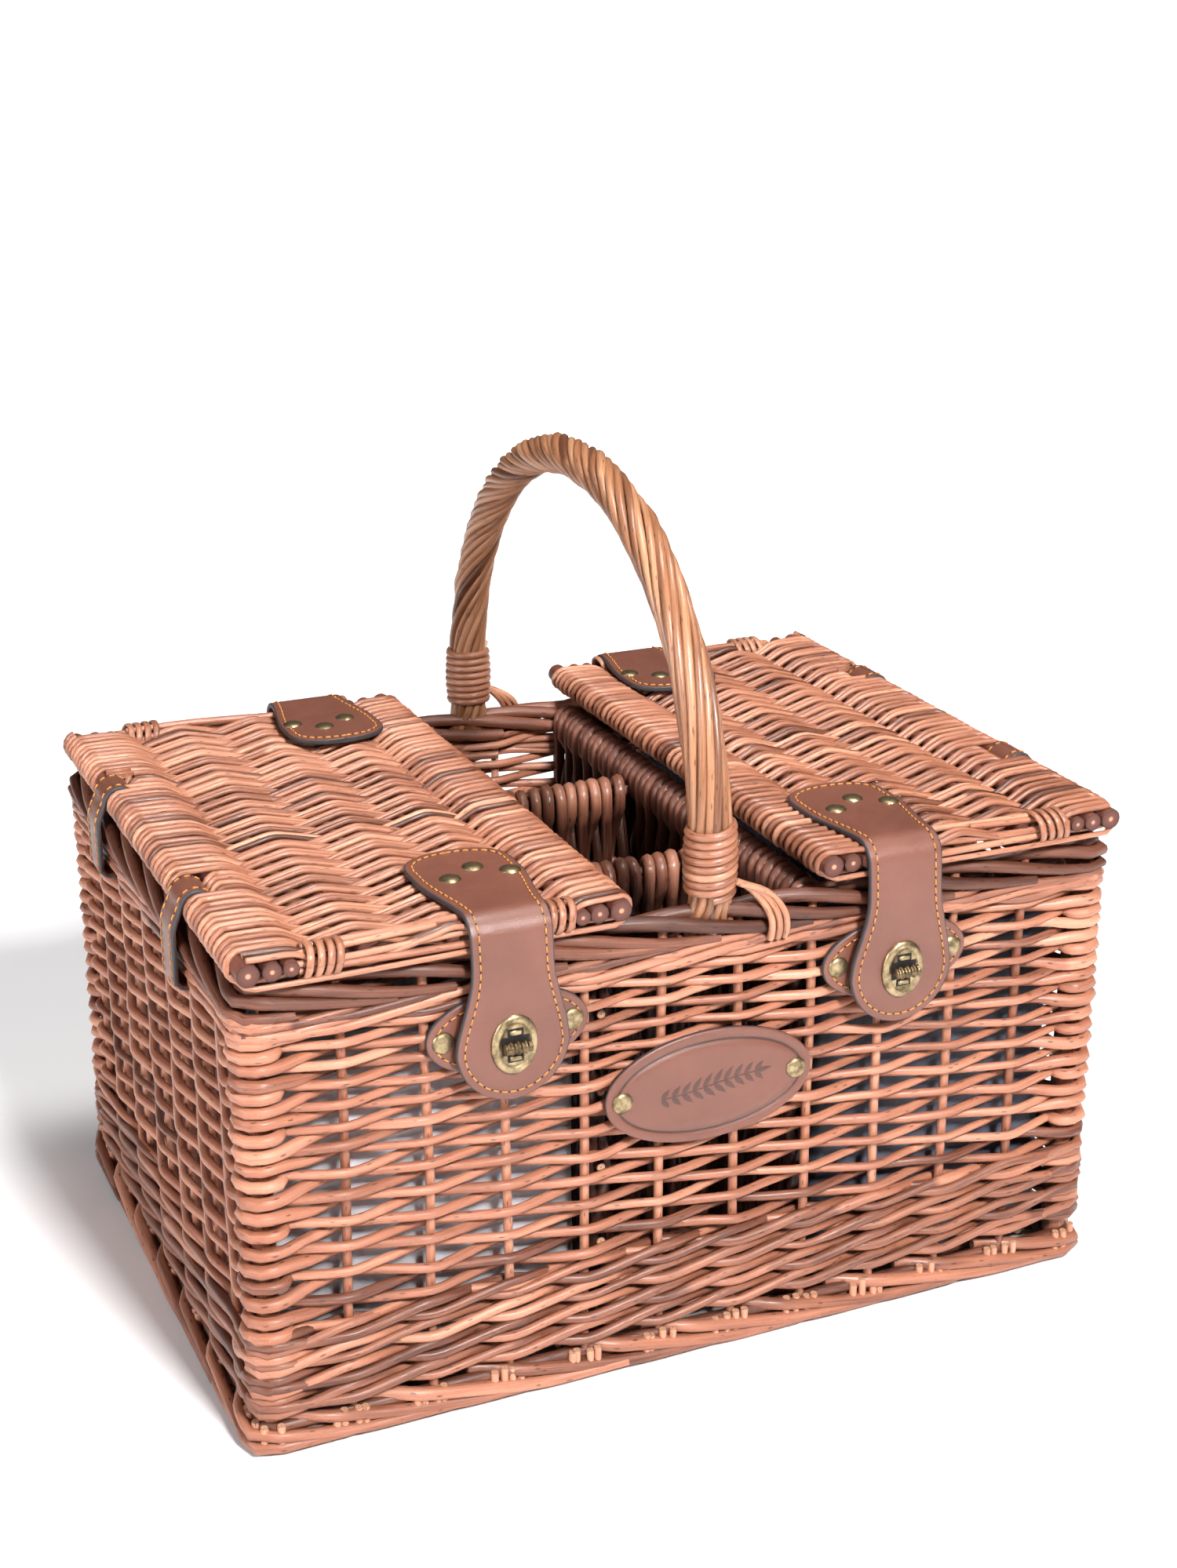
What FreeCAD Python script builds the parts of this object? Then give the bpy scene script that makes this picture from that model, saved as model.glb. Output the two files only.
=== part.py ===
"""Woven wicker picnic hamper: an oblong willow basket with two lids that open from the middle,
a hoop handle across the gap, leather straps with turn locks, leather hinge loops, three bottle
cells in the middle and a fabric liner in each lidded compartment.

Millimetres. +Z up, +X along the long side, the front faces -Y. The origin is the middle of the
foot, on the ground.
"""
import FreeCAD, Part
import Sketcher
import math
import os
from FreeCAD import Placement, Rotation, Vector

# ---------------------------------------------------------------- driving dimensions
SIZES = [
    # walls and rims
    ("wall_length", 460), ("wall_width", 328), ("wall_thickness", 14), ("wall_top", 216),
    ("foot_length", 471), ("foot_width", 328), ("foot_height", 14), ("foot_depth", 20),
    ("rim_length", 467), ("rim_width", 327), ("rim_top", 244), ("rim_corner", 22),
    ("base_thickness", 9), ("post_radius", 6.5), ("stake_radius", 2.5),
    ("front_stake_pitch", 40), ("side_stake_pitch", 46),
    # inside
    ("partition_thickness", 12), ("partition_top", 239), ("divider_top", 231),
    ("left_partition_place", -48), ("right_partition_place", 62),
    ("front_divider_place", -70), ("rear_divider_place", 43),
    ("top_rod_radius", 4), ("liner_wall", 1.5), ("liner_top", 204), ("liner_gap", 0.5), ("liner_corner", 9),
    # handle
    ("handle_place", 4.5), ("hoop_radius", 157), ("hoop_centre", 266), ("hoop_rod_radius", 10.5),
    ("hoop_core_radius", 4), ("hoop_core_foot", 190),
    ("binding_foot", 246), ("binding_height", 38), ("binding_wall", 2.3),
    # lids
    ("lid_outer", 229.5), ("left_lid_inner", 39.5), ("right_lid_inner", 58.5),
    ("lid_width", 339), ("lid_thickness", 13), ("left_lid_foot", 244.3), ("right_lid_foot", 247.8),
    ("hinge_place", 223), ("lid_stick_radius", 5.8), ("lid_rod_radius", 4.5), ("lid_rib_radius", 4),
    ("outer_rib_share", 0.322), ("middle_rib_share", 0.54), ("inner_rib_share", 0.738),
    ("notch_place", 75), ("notch_width", 26), ("notch_depth", 16.5),
    # hinge loops
    ("loop_band", 2.4), ("loop_width", 22), ("loop_clearance", 0.6), ("loop_foot", 212.6),
    # leather and locks
    ("strap_place", 102), ("rear_strap_shift", 9), ("lock_height", 197), ("leather", 2.8), ("backing", 2.6),
    ("catch_height", 200.5), ("catch_length", 80), ("catch_depth", 42), ("catch_stud_place", 32),
    ("label_place", 2), ("label_height", 151), ("label_length", 110), ("label_depth", 58),
    ("label_stud_place", 46.5), ("stud_radius", 5.4), ("stud_rise", 2.4),
    ("strap_neck", 40), ("strap_lobe_radius", 28), ("strap_bell", 53), ("strap_reach", 82.5),
    ("flap_shoulder", 38), ("flap_bend", 112),
    ("strap_gap", 0.6), ("anchor_drop", 4.1), ("lid_stud_reach", 47.5),
    ("lid_stud_pitch", 15), ("lid_stud_arc", 10),
    ("lock_length", 30), ("lock_breadth", 23), ("lock_base_thickness", 1.6),
    ("back_plate_thickness", 0.8), ("bezel_thickness", 2.8), ("bezel_floor", 1.2),
    ("recess_length", 22), ("recess_breadth", 18.5), ("slot_length", 19), ("slot_breadth", 8),
    ("button_length", 16), ("button_radius", 3), ("button_rib", 0.4), ("stem_radius", 2.5),
    ("stem_clearance", 0.08),
]

doc = FreeCAD.newDocument("wicker_hamper")
sheet = doc.addObject("Spreadsheet::Sheet", "Dims")
for row, (alias, value) in enumerate(SIZES, start=1):
    sheet.set(f"A{row}", alias)
    sheet.set(f"B{row}", str(value))
    sheet.setAlias(f"B{row}", alias)
doc.recompute()

UPRIGHT = Rotation()
ALONG_Y = Rotation(Vector(1, 0, 0), 90)      # local z runs to -Y
ALONG_X = Rotation(Vector(0, 1, 0), 90)      # local z runs to +X
FACING = {-1: ALONG_Y, 1: Rotation(Vector(0, 0, 1), 180) * ALONG_Y}    # local z runs outwards
FLAT = {-1: UPRIGHT, 1: Rotation(Vector(0, 0, 1), 180)}                # local y runs inwards
ENDS = ((-1, "front"), (1, "rear"))
SIDES = ((-1, "left"), (1, "right"))

parts = []          # the sub-parts, in the order in which they are written


# ---------------------------------------------------------------- small building blocks
def dim(text):
    """A formula over the sheet's names, ready for setExpression."""
    for alias in sorted((a for a, _ in SIZES), key=len, reverse=True):
        text = text.replace(alias, "@" + str([a for a, _ in SIZES].index(alias)) + "@")
    for index, (alias, _) in enumerate(SIZES):
        text = text.replace(f"@{index}@", "Dims." + alias)
    return text


def value(text):
    """The formula's value in millimetres."""
    result = sheet.evalExpression(dim(text))
    return float(getattr(result, "Value", result))


def bind(obj, **formulas):
    """Bind properties of an object to formulas over the sheet."""
    for name, text in formulas.items():
        obj.setExpression(name, dim(text))


def place(obj, x="0", y="0", z="0", turn=UPRIGHT):
    """Put an object's own origin at a bound position, turned as given."""
    obj.Placement = Placement(Vector(value(x), value(y), value(z)), turn)
    for axis, text in zip("xyz", (x, y, z)):
        obj.setExpression("Placement.Base." + axis, dim(text))
    return obj


def new(kind, name, **formulas):
    obj = doc.addObject(kind, name)
    bind(obj, **formulas)
    return obj


def keep(obj, label):
    """Make an object a sub-part under its own label."""
    obj.Label = label
    parts.append(obj)
    return obj


def box(name, length, width, height, x, y, z):
    """A box whose low corner is at x, y, z."""
    return place(new("Part::Box", name, Length=length, Width=width, Height=height), x, y, z)


def rod(name, radius, length, x, y, z, turn=UPRIGHT):
    return place(new("Part::Cylinder", name, Radius=radius, Height=length), x, y, z, turn)


def rod_along_y(name, radius, length, x, z):
    """A rod along Y whose middle is on the long centre plane."""
    return rod(name, radius, length, x, f"({length}) / 2", z, ALONG_Y)


def oval(name, length, breadth, thickness, x, y, z, turn, upright=False):
    """An elliptic plate standing on its own plane, long way along local x, or local y if upright."""
    spin = Rotation(Vector(0, 0, 1), 90) if upright else UPRIGHT
    ring = new("Part::Ellipse", name + "_outline",
               MajorRadius=f"({length}) / 2", MinorRadius=f"({breadth}) / 2")
    place(ring, x, y, z, turn * spin)
    plate = new("Part::Extrusion", name, LengthFwd=thickness)
    plate.Base = ring
    plate.DirMode = "Custom"
    plate.Dir = turn.multVec(Vector(0, 0, 1))
    plate.Solid = True
    return plate


def dome(name, x, y, z, turn):
    """A stud's domed cap, standing on its plane."""
    radius = "(stud_radius * stud_radius + stud_rise * stud_rise) / (2 * stud_rise)"
    cap = new("Part::Sphere", name, Radius=radius, Angle1=f"asin(1 - stud_rise / ({radius}))")
    sink = turn.multVec(Vector(0, 0, 1))
    drop = [f"({text}) - {component:.0f} * (({radius}) - stud_rise)" if abs(component) > 0.5 else text
            for text, component in zip((x, y, z), sink)]
    return place(cap, *drop, turn)


def group(name, members):
    """Separate solids that are one sub-part."""
    bundle = doc.addObject("Part::Compound", name)
    bundle.Links = members
    return bundle


def cut(name, blank, tool):
    result = doc.addObject("Part::Cut", name)
    result.Base = blank
    result.Tool = tool
    return result


def body_plane(body, role):
    return next(f for f in body.Origin.OriginFeatures if f.Role == role)


def new_sketch(body, name, role="XY_Plane"):
    sketch = body.newObject("Sketcher::SketchObject", name)
    sketch.AttachmentSupport = [(body_plane(body, role), "")]
    sketch.MapMode = "FlatFace"
    return sketch


def arc_between(start, end, radius, turn):
    """The short arc from start to end; turn is 1 if it runs counter-clockwise, -1 if clockwise."""
    chord = end - start
    rise = math.sqrt(max(radius ** 2 - (chord.Length / 2) ** 2, 0))
    aside = Vector(-chord.y, chord.x, 0).normalize() * rise * turn
    centre = (start + end) / 2 + aside
    first, last = (start, end) if turn > 0 else (end, start)
    angles = [math.atan2(p.y - centre.y, p.x - centre.x) for p in (first, last)]
    return Part.ArcOfCircle(Part.Circle(centre, Vector(0, 0, 1), radius), *angles)


def outline(sketch, corners, arcs=None, closed=True):
    """Lines and arcs through corners, each corner held by bound distances from the origin.

    corners is a list of (x, y) formulas; arcs maps an edge's number to (radius, turn), or for a
    half circle, whose ends already say its radius, to (radius, turn, height of its centre)."""
    arcs = arcs or {}
    points = [Vector(value(x), value(y), 0) for x, y in corners]
    ends = []
    count = len(points) if closed else len(points) - 1
    for index in range(count):
        start, end = points[index], points[(index + 1) % len(points)]
        if index in arcs:
            radius, turn, *centre = arcs[index]
            number = sketch.addGeometry(arc_between(start, end, value(radius), turn), False)
            ends.append((number, 1, 2) if turn > 0 else (number, 2, 1))
            if centre:
                held = Sketcher.Constraint("DistanceY", -1, 1, number, 3, value(centre[0]))
            else:
                held = Sketcher.Constraint("Radius", number, value(radius))
            named = sketch.addConstraint(held)
            sketch.setExpression(f"Constraints[{named}]", dim(centre[0] if centre else radius))
        else:
            number = sketch.addGeometry(Part.LineSegment(start, end), False)
            ends.append((number, 1, 2))
    for index in range(count if closed else count - 1):
        this, following = ends[index], ends[(index + 1) % count]
        sketch.addConstraint(Sketcher.Constraint("Coincident", this[0], this[2],
                                                 following[0], following[1]))
    held = [(number, first) for number, first, _ in ends]
    if not closed:
        held.append((ends[-1][0], ends[-1][2]))
    for (number, end), (x, y), point in zip(held, corners, points):
        for kind, text, size, axis in (("DistanceX", x, point.x, -2), ("DistanceY", y, point.y, -1)):
            if abs(size) < 1e-9:
                sketch.addConstraint(Sketcher.Constraint("PointOnObject", number, end, axis))
                continue
            named = sketch.addConstraint(Sketcher.Constraint(kind, -1, 1, number, end, size))
            sketch.setExpression(f"Constraints[{named}]", dim(text))


def round_rectangle(sketch, length, width, corner):
    """A rectangle with round corners, its middle on the origin."""
    half_x, half_y = f"(({length}) / 2)", f"(({width}) / 2)"
    in_x, in_y = f"({half_x} - ({corner}))", f"({half_y} - ({corner}))"
    corners = [(in_x, "-" + half_y), (half_x, "-" + in_y), (half_x, in_y), (in_x, half_y),
               ("-" + in_x, half_y), ("-" + half_x, in_y), ("-" + half_x, "-" + in_y),
               ("-" + in_x, "-" + half_y)]
    outline(sketch, corners, {number: (corner, 1) for number in (0, 2, 4, 6)})


def mirrored(right_half, arcs):
    """Close a half outline, listed from the bottom up, with its mirror image in the Y axis."""
    last = len(right_half) - 1
    left_half = [(f"-({x})", y) for x, y in reversed(right_half)]
    both = {2 * last - number: bend for number, bend in arcs.items() if number < last}
    return right_half + left_half, {**both, **arcs}


def pad(body, sketch, name, length, midplane=False, reverse=False):
    feature = body.newObject("PartDesign::Pad", name)
    feature.Profile = sketch
    feature.Midplane = midplane
    feature.Reversed = reverse
    feature.setExpression("Length", dim(length))
    sketch.Visibility = False
    return feature


def plate(name, length, draw, midplane=False):
    """A body padded from one sketch; draw fills the sketch."""
    body = doc.addObject("PartDesign::Body", name)
    sketch = new_sketch(body, name + "_sketch")
    draw(sketch)
    pad(body, sketch, name + "_pad", length, midplane)
    return body


# ---------------------------------------------------------------- the basket's frame
def make_base():
    panel = plate("base", "base_thickness", lambda sketch: round_rectangle(
        sketch, "foot_length - 2 * foot_depth - 0.2", "foot_width - 2 * foot_depth - 0.2", "4"))
    keep(place(panel, z="foot_height - base_thickness"), "base_panel")

    def foot_ring(sketch):
        round_rectangle(sketch, "foot_length", "foot_width", "rim_corner + 2")
        round_rectangle(sketch, "foot_length - 2 * foot_depth", "foot_width - 2 * foot_depth", "4")

    keep(plate("foot", "foot_height", foot_ring), "foot_border")

    def rim_ring(sketch):
        round_rectangle(sketch, "rim_length", "rim_width", "rim_corner")
        round_rectangle(sketch, "wall_length - 2 * wall_thickness",
                        "wall_width - 2 * wall_thickness", "6")

    rim = plate("rim", "rim_top - wall_top", rim_ring)
    keep(place(rim, z="wall_top"), "top_border")


POST_X = "(wall_length / 2 - wall_thickness / 2 - 5)"
POST_Y = "(wall_width / 2 - wall_thickness / 2 - 5)"


def make_walls():
    tall = "wall_top - foot_height"
    for end, name in ENDS:
        low = "-wall_width / 2" if end < 0 else "wall_width / 2 - wall_thickness"
        wall = box(name + "_weave", f"2 * ({POST_X} - post_radius)", "wall_thickness", tall,
                   f"post_radius - {POST_X}", low, "foot_height")
        keep(wall, name + "_wall")
    for side, name in SIDES:
        low = "-wall_length / 2" if side < 0 else "wall_length / 2 - wall_thickness"
        wall = box(name + "_weave", "wall_thickness", f"2 * ({POST_Y} - post_radius)", tall,
                   low, f"post_radius - {POST_Y}", "foot_height")
        keep(wall, name + "_wall")
    posts = [rod(f"{along}_{across}_post", "post_radius", tall, f"{side} * {POST_X}",
                 f"{end} * {POST_Y}", "foot_height")
             for side, along in SIDES for end, across in ENDS]
    keep(group("posts", posts), "corner_posts")


def make_stakes():
    """Ten stakes in each long wall and seven in each end, from the foot up into the rim."""
    stakes = []
    low, tall = "foot_height - base_thickness", "rim_top - foot_height + base_thickness - 4"
    wall_y = "(wall_width / 2 - wall_thickness / 2)"
    wall_x = "(wall_length / 2 - wall_thickness / 2)"
    for end, name in ENDS:
        for number in range(10):
            stakes.append(rod(f"{name}_stake_{number}", "stake_radius", tall,
                              f"front_stake_pitch * {number - 4.5}", f"{end} * {wall_y}", low))
    for side, name in SIDES:
        for number in range(7):
            stakes.append(rod(f"{name}_stake_{number}", "stake_radius", tall,
                              f"{side} * {wall_x}", f"side_stake_pitch * {number - 3}", low))
    keep(group("stakes", stakes), "wall_stakes")


def make_inside():
    thick, deep = "partition_thickness", "wall_width - 2 * wall_thickness - 0.4"
    inner_x = "(wall_length / 2 - wall_thickness)"
    rods = []
    for side, name in SIDES:
        middle = name + "_partition_place"
        panel = box(name + "_screen", thick, deep, "partition_top - foot_height",
                    f"{middle} - {thick} / 2", f"-({deep}) / 2", "foot_height")
        keep(panel, name + "_partition")
        rods.append(rod_along_y(name + "_screen_rod", "top_rod_radius", deep, middle,
                                "partition_top - top_rod_radius - 1.5"))
    span = f"(right_partition_place - left_partition_place - {thick})"
    for end, name in ENDS:
        middle = name + "_divider_place"
        panel = box(name + "_cross", span, thick, "divider_top - foot_height",
                    f"left_partition_place + {thick} / 2", f"{middle} - {thick} / 2", "foot_height")
        keep(panel, name + "_bottle_divider")
        rods.append(rod(name + "_cross_rod", "top_rod_radius", span,
                        f"left_partition_place + {thick} / 2", middle,
                        "divider_top - top_rod_radius - 1.5", ALONG_X))
    keep(group("screen_rods", rods), "partition_rods")

    for side, name in SIDES:
        screen = f"({name}_partition_place + {side} * {thick} / 2)"
        wide = f"({inner_x} - abs({screen}) - 2 * liner_gap)"
        middle = f"(({side} * {inner_x} + {screen}) / 2)"
        keep(place(make_liner(name, wide), middle, z="foot_height + liner_gap"), name + "_liner")


def make_liner(name, wide):
    """An open cloth bag with round corners, which clear the corner posts."""
    long = "(wall_width - 2 * wall_thickness - 2 * liner_gap)"
    bag = plate(name + "_bag", "liner_wall",
                lambda sketch: round_rectangle(sketch, wide, long, "liner_corner"))
    sides = new_sketch(bag, name + "_bag_sides")
    round_rectangle(sides, wide, long, "liner_corner")
    round_rectangle(sides, f"{wide} - 2 * liner_wall", f"{long} - 2 * liner_wall",
                    "(liner_corner - liner_wall)")
    bag.Tip = pad(bag, sides, name + "_bag_side_pad", "liner_top - foot_height - liner_gap")
    return bag


# ---------------------------------------------------------------- the handle
def pipe_hoop(name, radius, foot):
    """A round rod that rises at the front, bends over in a half circle and comes down behind."""
    body = doc.addObject("PartDesign::Body", name)
    path = new_sketch(body, name + "_path", "YZ_Plane")
    rise = "hoop_centre"
    outline(path, [("-hoop_radius", foot), ("-hoop_radius", rise),
                   ("hoop_radius", rise), ("hoop_radius", foot)],
            {1: ("hoop_radius", -1, rise)}, closed=False)
    profile = new_sketch(body, name + "_section", "XY_Plane")
    profile.addGeometry(Part.Circle(Vector(0, -value("hoop_radius"), 0), Vector(0, 0, 1),
                                    value(radius)), False)
    profile.addConstraint(Sketcher.Constraint("PointOnObject", 0, 3, -2))
    across = profile.addConstraint(
        Sketcher.Constraint("DistanceY", -1, 1, 0, 3, -value("hoop_radius")))
    profile.setExpression(f"Constraints[{across}]", dim("-hoop_radius"))
    wide = profile.addConstraint(Sketcher.Constraint("Radius", 0, value(radius)))
    profile.setExpression(f"Constraints[{wide}]", dim(radius))
    profile.setExpression("AttachmentOffset.Base.z", dim(foot))
    doc.recompute()
    pipe = body.newObject("PartDesign::AdditivePipe", name + "_pipe")
    pipe.Profile = profile
    pipe.Spine = (path, ["Edge1", "Edge2", "Edge3"])
    body.Tip = pipe
    return place(body, x="handle_place")


def make_handle():
    keep(pipe_hoop("roping", "hoop_rod_radius", "rim_top"), "handle_roping")
    keep(pipe_hoop("core", "hoop_core_radius", "hoop_core_foot"), "handle_core")
    for end, name in ENDS:
        outer = rod(name + "_wrap", "hoop_rod_radius + binding_wall", "binding_height",
                    "handle_place", f"{end} * hoop_radius", "binding_foot")
        inner = rod(name + "_wrap_bore", "hoop_rod_radius", "binding_height + 4",
                    "handle_place", f"{end} * hoop_radius", "binding_foot - 2")
        keep(cut(name + "_ring", outer, inner), name + "_handle_binding")


# ---------------------------------------------------------------- leather on the basket
def wall_face(end, out="0"):
    """The Y of a plane parallel to the front or rear wall, a distance outside it."""
    return f"{end} * (wall_width / 2 + {out})"


def strap_line(side, end):
    """A strap's X; the rear two both sit a little to the right."""
    return f"({side} * strap_place + {(end + 1) // 2} * rear_strap_shift)"


def make_catches():
    studs, bases = [], []
    for side, along in SIDES:
        for end, across in ENDS:
            middle = strap_line(side, end)
            patch = oval(f"{across}_{along}_patch", "catch_length", "catch_depth", "backing",
                         middle, wall_face(end), "catch_height", FACING[end])
            keep(patch, f"{across}_{along}_catch_leather")
            bases.append(oval(f"{across}_{along}_base", "lock_length", "lock_breadth",
                              "lock_base_thickness", middle, wall_face(end, "backing"),
                              "lock_height", FACING[end], upright=True))
            for hand in (-1, 1):
                studs.append(dome(f"{across}_{along}_stud_{hand + 1}",
                                  f"{middle} + {hand} * catch_stud_place",
                                  wall_face(end, "backing"), "catch_height", FACING[end]))
    keep(group("lock_bases", bases), "lock_base_plates")
    keep(group("backing_studs", studs), "catch_studs")
    tag = oval("tag", "label_length", "label_depth", "backing", "label_place",
               wall_face(-1), "label_height", FACING[-1])
    keep(tag, "label_plate")
    caps = [dome(f"tag_stud_{hand + 1}", f"label_place + {hand} * label_stud_place",
                 wall_face(-1, "backing"), "label_height", FACING[-1]) for hand in (-1, 1)]
    keep(group("tag_studs", caps), "label_studs")


def loop_outline(sketch, lid_foot, band):
    """A closed band round the lid's hinge stick and the rim; band moves it outwards.

    Local x is across the wall from the hinge stick outwards, local y is height."""
    axis = f"({lid_foot} + lid_thickness / 2)"
    snug = f"(lid_stick_radius + loop_clearance + {band})"
    outer = f"(rim_length / 2 - hinge_place + 0.2 + {band})"
    inner = f"(hinge_place - wall_length / 2 + wall_thickness + 0.2 + {band})"
    shoulder, low = f"(rim_top + {band} / 2)", f"(loop_foot - {band})"
    corners = [("-" + inner, low), (outer, low), (outer, shoulder), (snug, axis),
               ("-" + snug, axis), ("-" + inner, shoulder)]
    outline(sketch, corners, {3: (snug, 1, axis)})


def make_hinge_loops():
    for side, name in SIDES:
        foot = name + "_lid_foot"
        loops = []
        for end, across in ENDS:
            body = doc.addObject("PartDesign::Body", f"{name}_{across}_loop")
            sketch = new_sketch(body, f"{name}_{across}_loop_sketch")
            loop_outline(sketch, foot, "loop_band")
            loop_outline(sketch, foot, "0")
            pad(body, sketch, f"{name}_{across}_loop_pad", "loop_width", midplane=True)
            turn = ALONG_Y if side > 0 else Rotation(Vector(0, 0, 1), 180) * ALONG_Y
            loops.append(place(body, f"{side} * hinge_place", f"{end} * notch_place", "0", turn))
        keep(group(name + "_loops", loops), name + "_hinge_loops")


# ---------------------------------------------------------------- lids
def lid_outline(sketch, inner):
    """A lid seen from above, its hinge edge at -X, with two notches for the hinge loops."""
    out, half = "-lid_outer", "(lid_width / 2)"
    deep = "(notch_depth - lid_outer)"
    near, far = "(notch_place - notch_width / 2)", "(notch_place + notch_width / 2)"
    corners = [(out, "-" + half), (f"-{inner}", "-" + half), (f"-{inner}", half), (out, half),
               (out, far), (deep, far), (deep, near), (out, near),
               (out, "-" + near), (deep, "-" + near), (deep, "-" + far), (out, "-" + far)]
    outline(sketch, corners)


def make_lid(side, name):
    foot, inner = name + "_lid_foot", name + "_lid_inner"
    turn = UPRIGHT if side < 0 else Rotation(Vector(0, 0, 1), 180)
    weave = plate(name + "_weave_panel", "lid_thickness", lambda sketch: lid_outline(sketch, inner))
    doc.recompute()
    blank = weave.Tip
    edges = [f"Edge{number}" for number, edge in enumerate(blank.Shape.Edges, start=1)
             if abs(abs(edge.tangentAt(edge.FirstParameter).y) - 1) < 1e-6
             and min(abs(edge.CenterOfMass.x + value("lid_outer")),
                     abs(edge.CenterOfMass.x + value(inner))) < 1e-6]
    rounding = weave.newObject("PartDesign::Fillet", name + "_weave_rounding")
    rounding.Base = (blank, edges)
    rounding.setExpression("Radius", dim("lid_thickness / 2 - 0.2"))
    weave.Tip = rounding
    keep(place(weave, z=foot, turn=turn), name + "_lid_weave")

    middle = f"({foot} + lid_thickness / 2)"
    length = "lid_width"
    keep(rod_along_y(name + "_pivot", "lid_stick_radius", length, f"{side} * hinge_place", middle),
         name + "_lid_hinge_stick")
    keep(rod_along_y(name + "_edge", "lid_stick_radius", length,
                     f"{side} * ({inner} + lid_outer - hinge_place)", middle),
         name + "_lid_inner_stick")

    # two rods beside each edge stick, and three ribs between them
    beside = "(lid_stick_radius + lid_rod_radius)"
    second = "(lid_rod_radius + lid_rib_radius)"
    outer_rod = "(lid_outer - notch_depth - lid_rod_radius - 0.1)"
    inner_rod = f"({inner} + lid_outer - hinge_place + {beside})"
    places = [f"({outer_rod} - {second})", f"({inner_rod} + {second})"]
    places += [f"(lid_outer - {share} * (lid_outer - {inner}))"
               for share in ("outer_rib_share", "middle_rib_share", "inner_rib_share")]
    ribs = [rod_along_y(f"{name}_rod_{number}", "lid_rod_radius", length, f"{side} * {at}", middle)
            for number, at in enumerate((outer_rod, inner_rod))]
    for number, at in enumerate(places):
        ribs.append(rod_along_y(f"{name}_rib_{number}", "lid_rib_radius", length,
                                f"{side} * {at}", middle))
    keep(group(name + "_rib_set", ribs), name + "_lid_ribs")


# ---------------------------------------------------------------- straps and turn locks
def anchor_outline(sketch):
    """The strap's upper end, lying on the lid: a bell with a gently rounded end."""
    neck, bell = "(strap_neck / 2)", "(strap_bell / 2)"
    right_half = [(neck, "-anchor_drop"), (neck, "12"), (bell, "strap_reach - 34"),
                  (bell, "strap_reach - 17"), ("strap_bell / 2 - 12", "strap_reach - 3")]
    arcs = {1: ("140", -1), 3: ("15", 1), 4: ("60", 1)}
    outline(sketch, *mirrored(right_half, arcs))


def drop_outline(sketch):
    """The short part of the strap that turns down over the lid's edge."""
    neck, near = "(strap_neck / 2)", "(leather - anchor_drop)"
    outline(sketch, *mirrored([(neck, "-anchor_drop"), (neck, near)], {}))


def flap_outline(sketch, hang):
    """The hanging end of the strap: a neck that widens to a round lobe, with the lock's hole."""
    neck, lobe = "(strap_neck / 2)", "strap_lobe_radius"
    lock = f"(lock_height - ({hang}))"
    right_half = [("1", f"{lock} - 0.999 * {lobe}"), (lobe, lock), (neck, f"{lock} + flap_shoulder"),
                  (neck, "1")]
    outline(sketch, *mirrored(right_half, {0: (lobe, 1), 1: ("flap_bend", 1)}))
    wide, tall = "(slot_breadth / 2 + 0.4)", "(slot_length / 2 + 0.4)"
    outline(sketch, [(wide, f"{lock} - {tall}"), (wide, f"{lock} + {tall}"),
                     ("-" + wide, f"{lock} + {tall}"), ("-" + wide, f"{lock} - {tall}")])


def make_turn_button(name, middle, end, out):
    """A ribbed barrel on a stem that turns in the strap's back plate."""
    barrel_y = wall_face(end, f"({out} + leather + bezel_floor + button_radius + button_rib + 0.4)")
    start = f"{middle} - button_length / 2"
    pieces = [rod(name + "_barrel", "button_radius", "button_length",
                  start, barrel_y, "lock_height", ALONG_X)]
    for number in range(3):
        offset = f"{start} + button_length * {0.2 + 0.3 * number} - 1.1"
        pieces.append(rod(f"{name}_rib_{number}", "button_radius + button_rib", "2.2",
                          offset, barrel_y, "lock_height", ALONG_X))
    reach = ("leather + bezel_floor + button_radius + button_rib + 0.4"
             " + back_plate_thickness - 0.1")
    stem_y = wall_face(end, f"({out} - back_plate_thickness + 0.1)")
    pieces.append(rod(name + "_stem", "stem_radius", reach, middle, stem_y, "lock_height",
                      FACING[end]))
    whole = doc.addObject("Part::MultiFuse", name)
    whole.Shapes = pieces
    whole.Refine = True
    return whole


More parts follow.
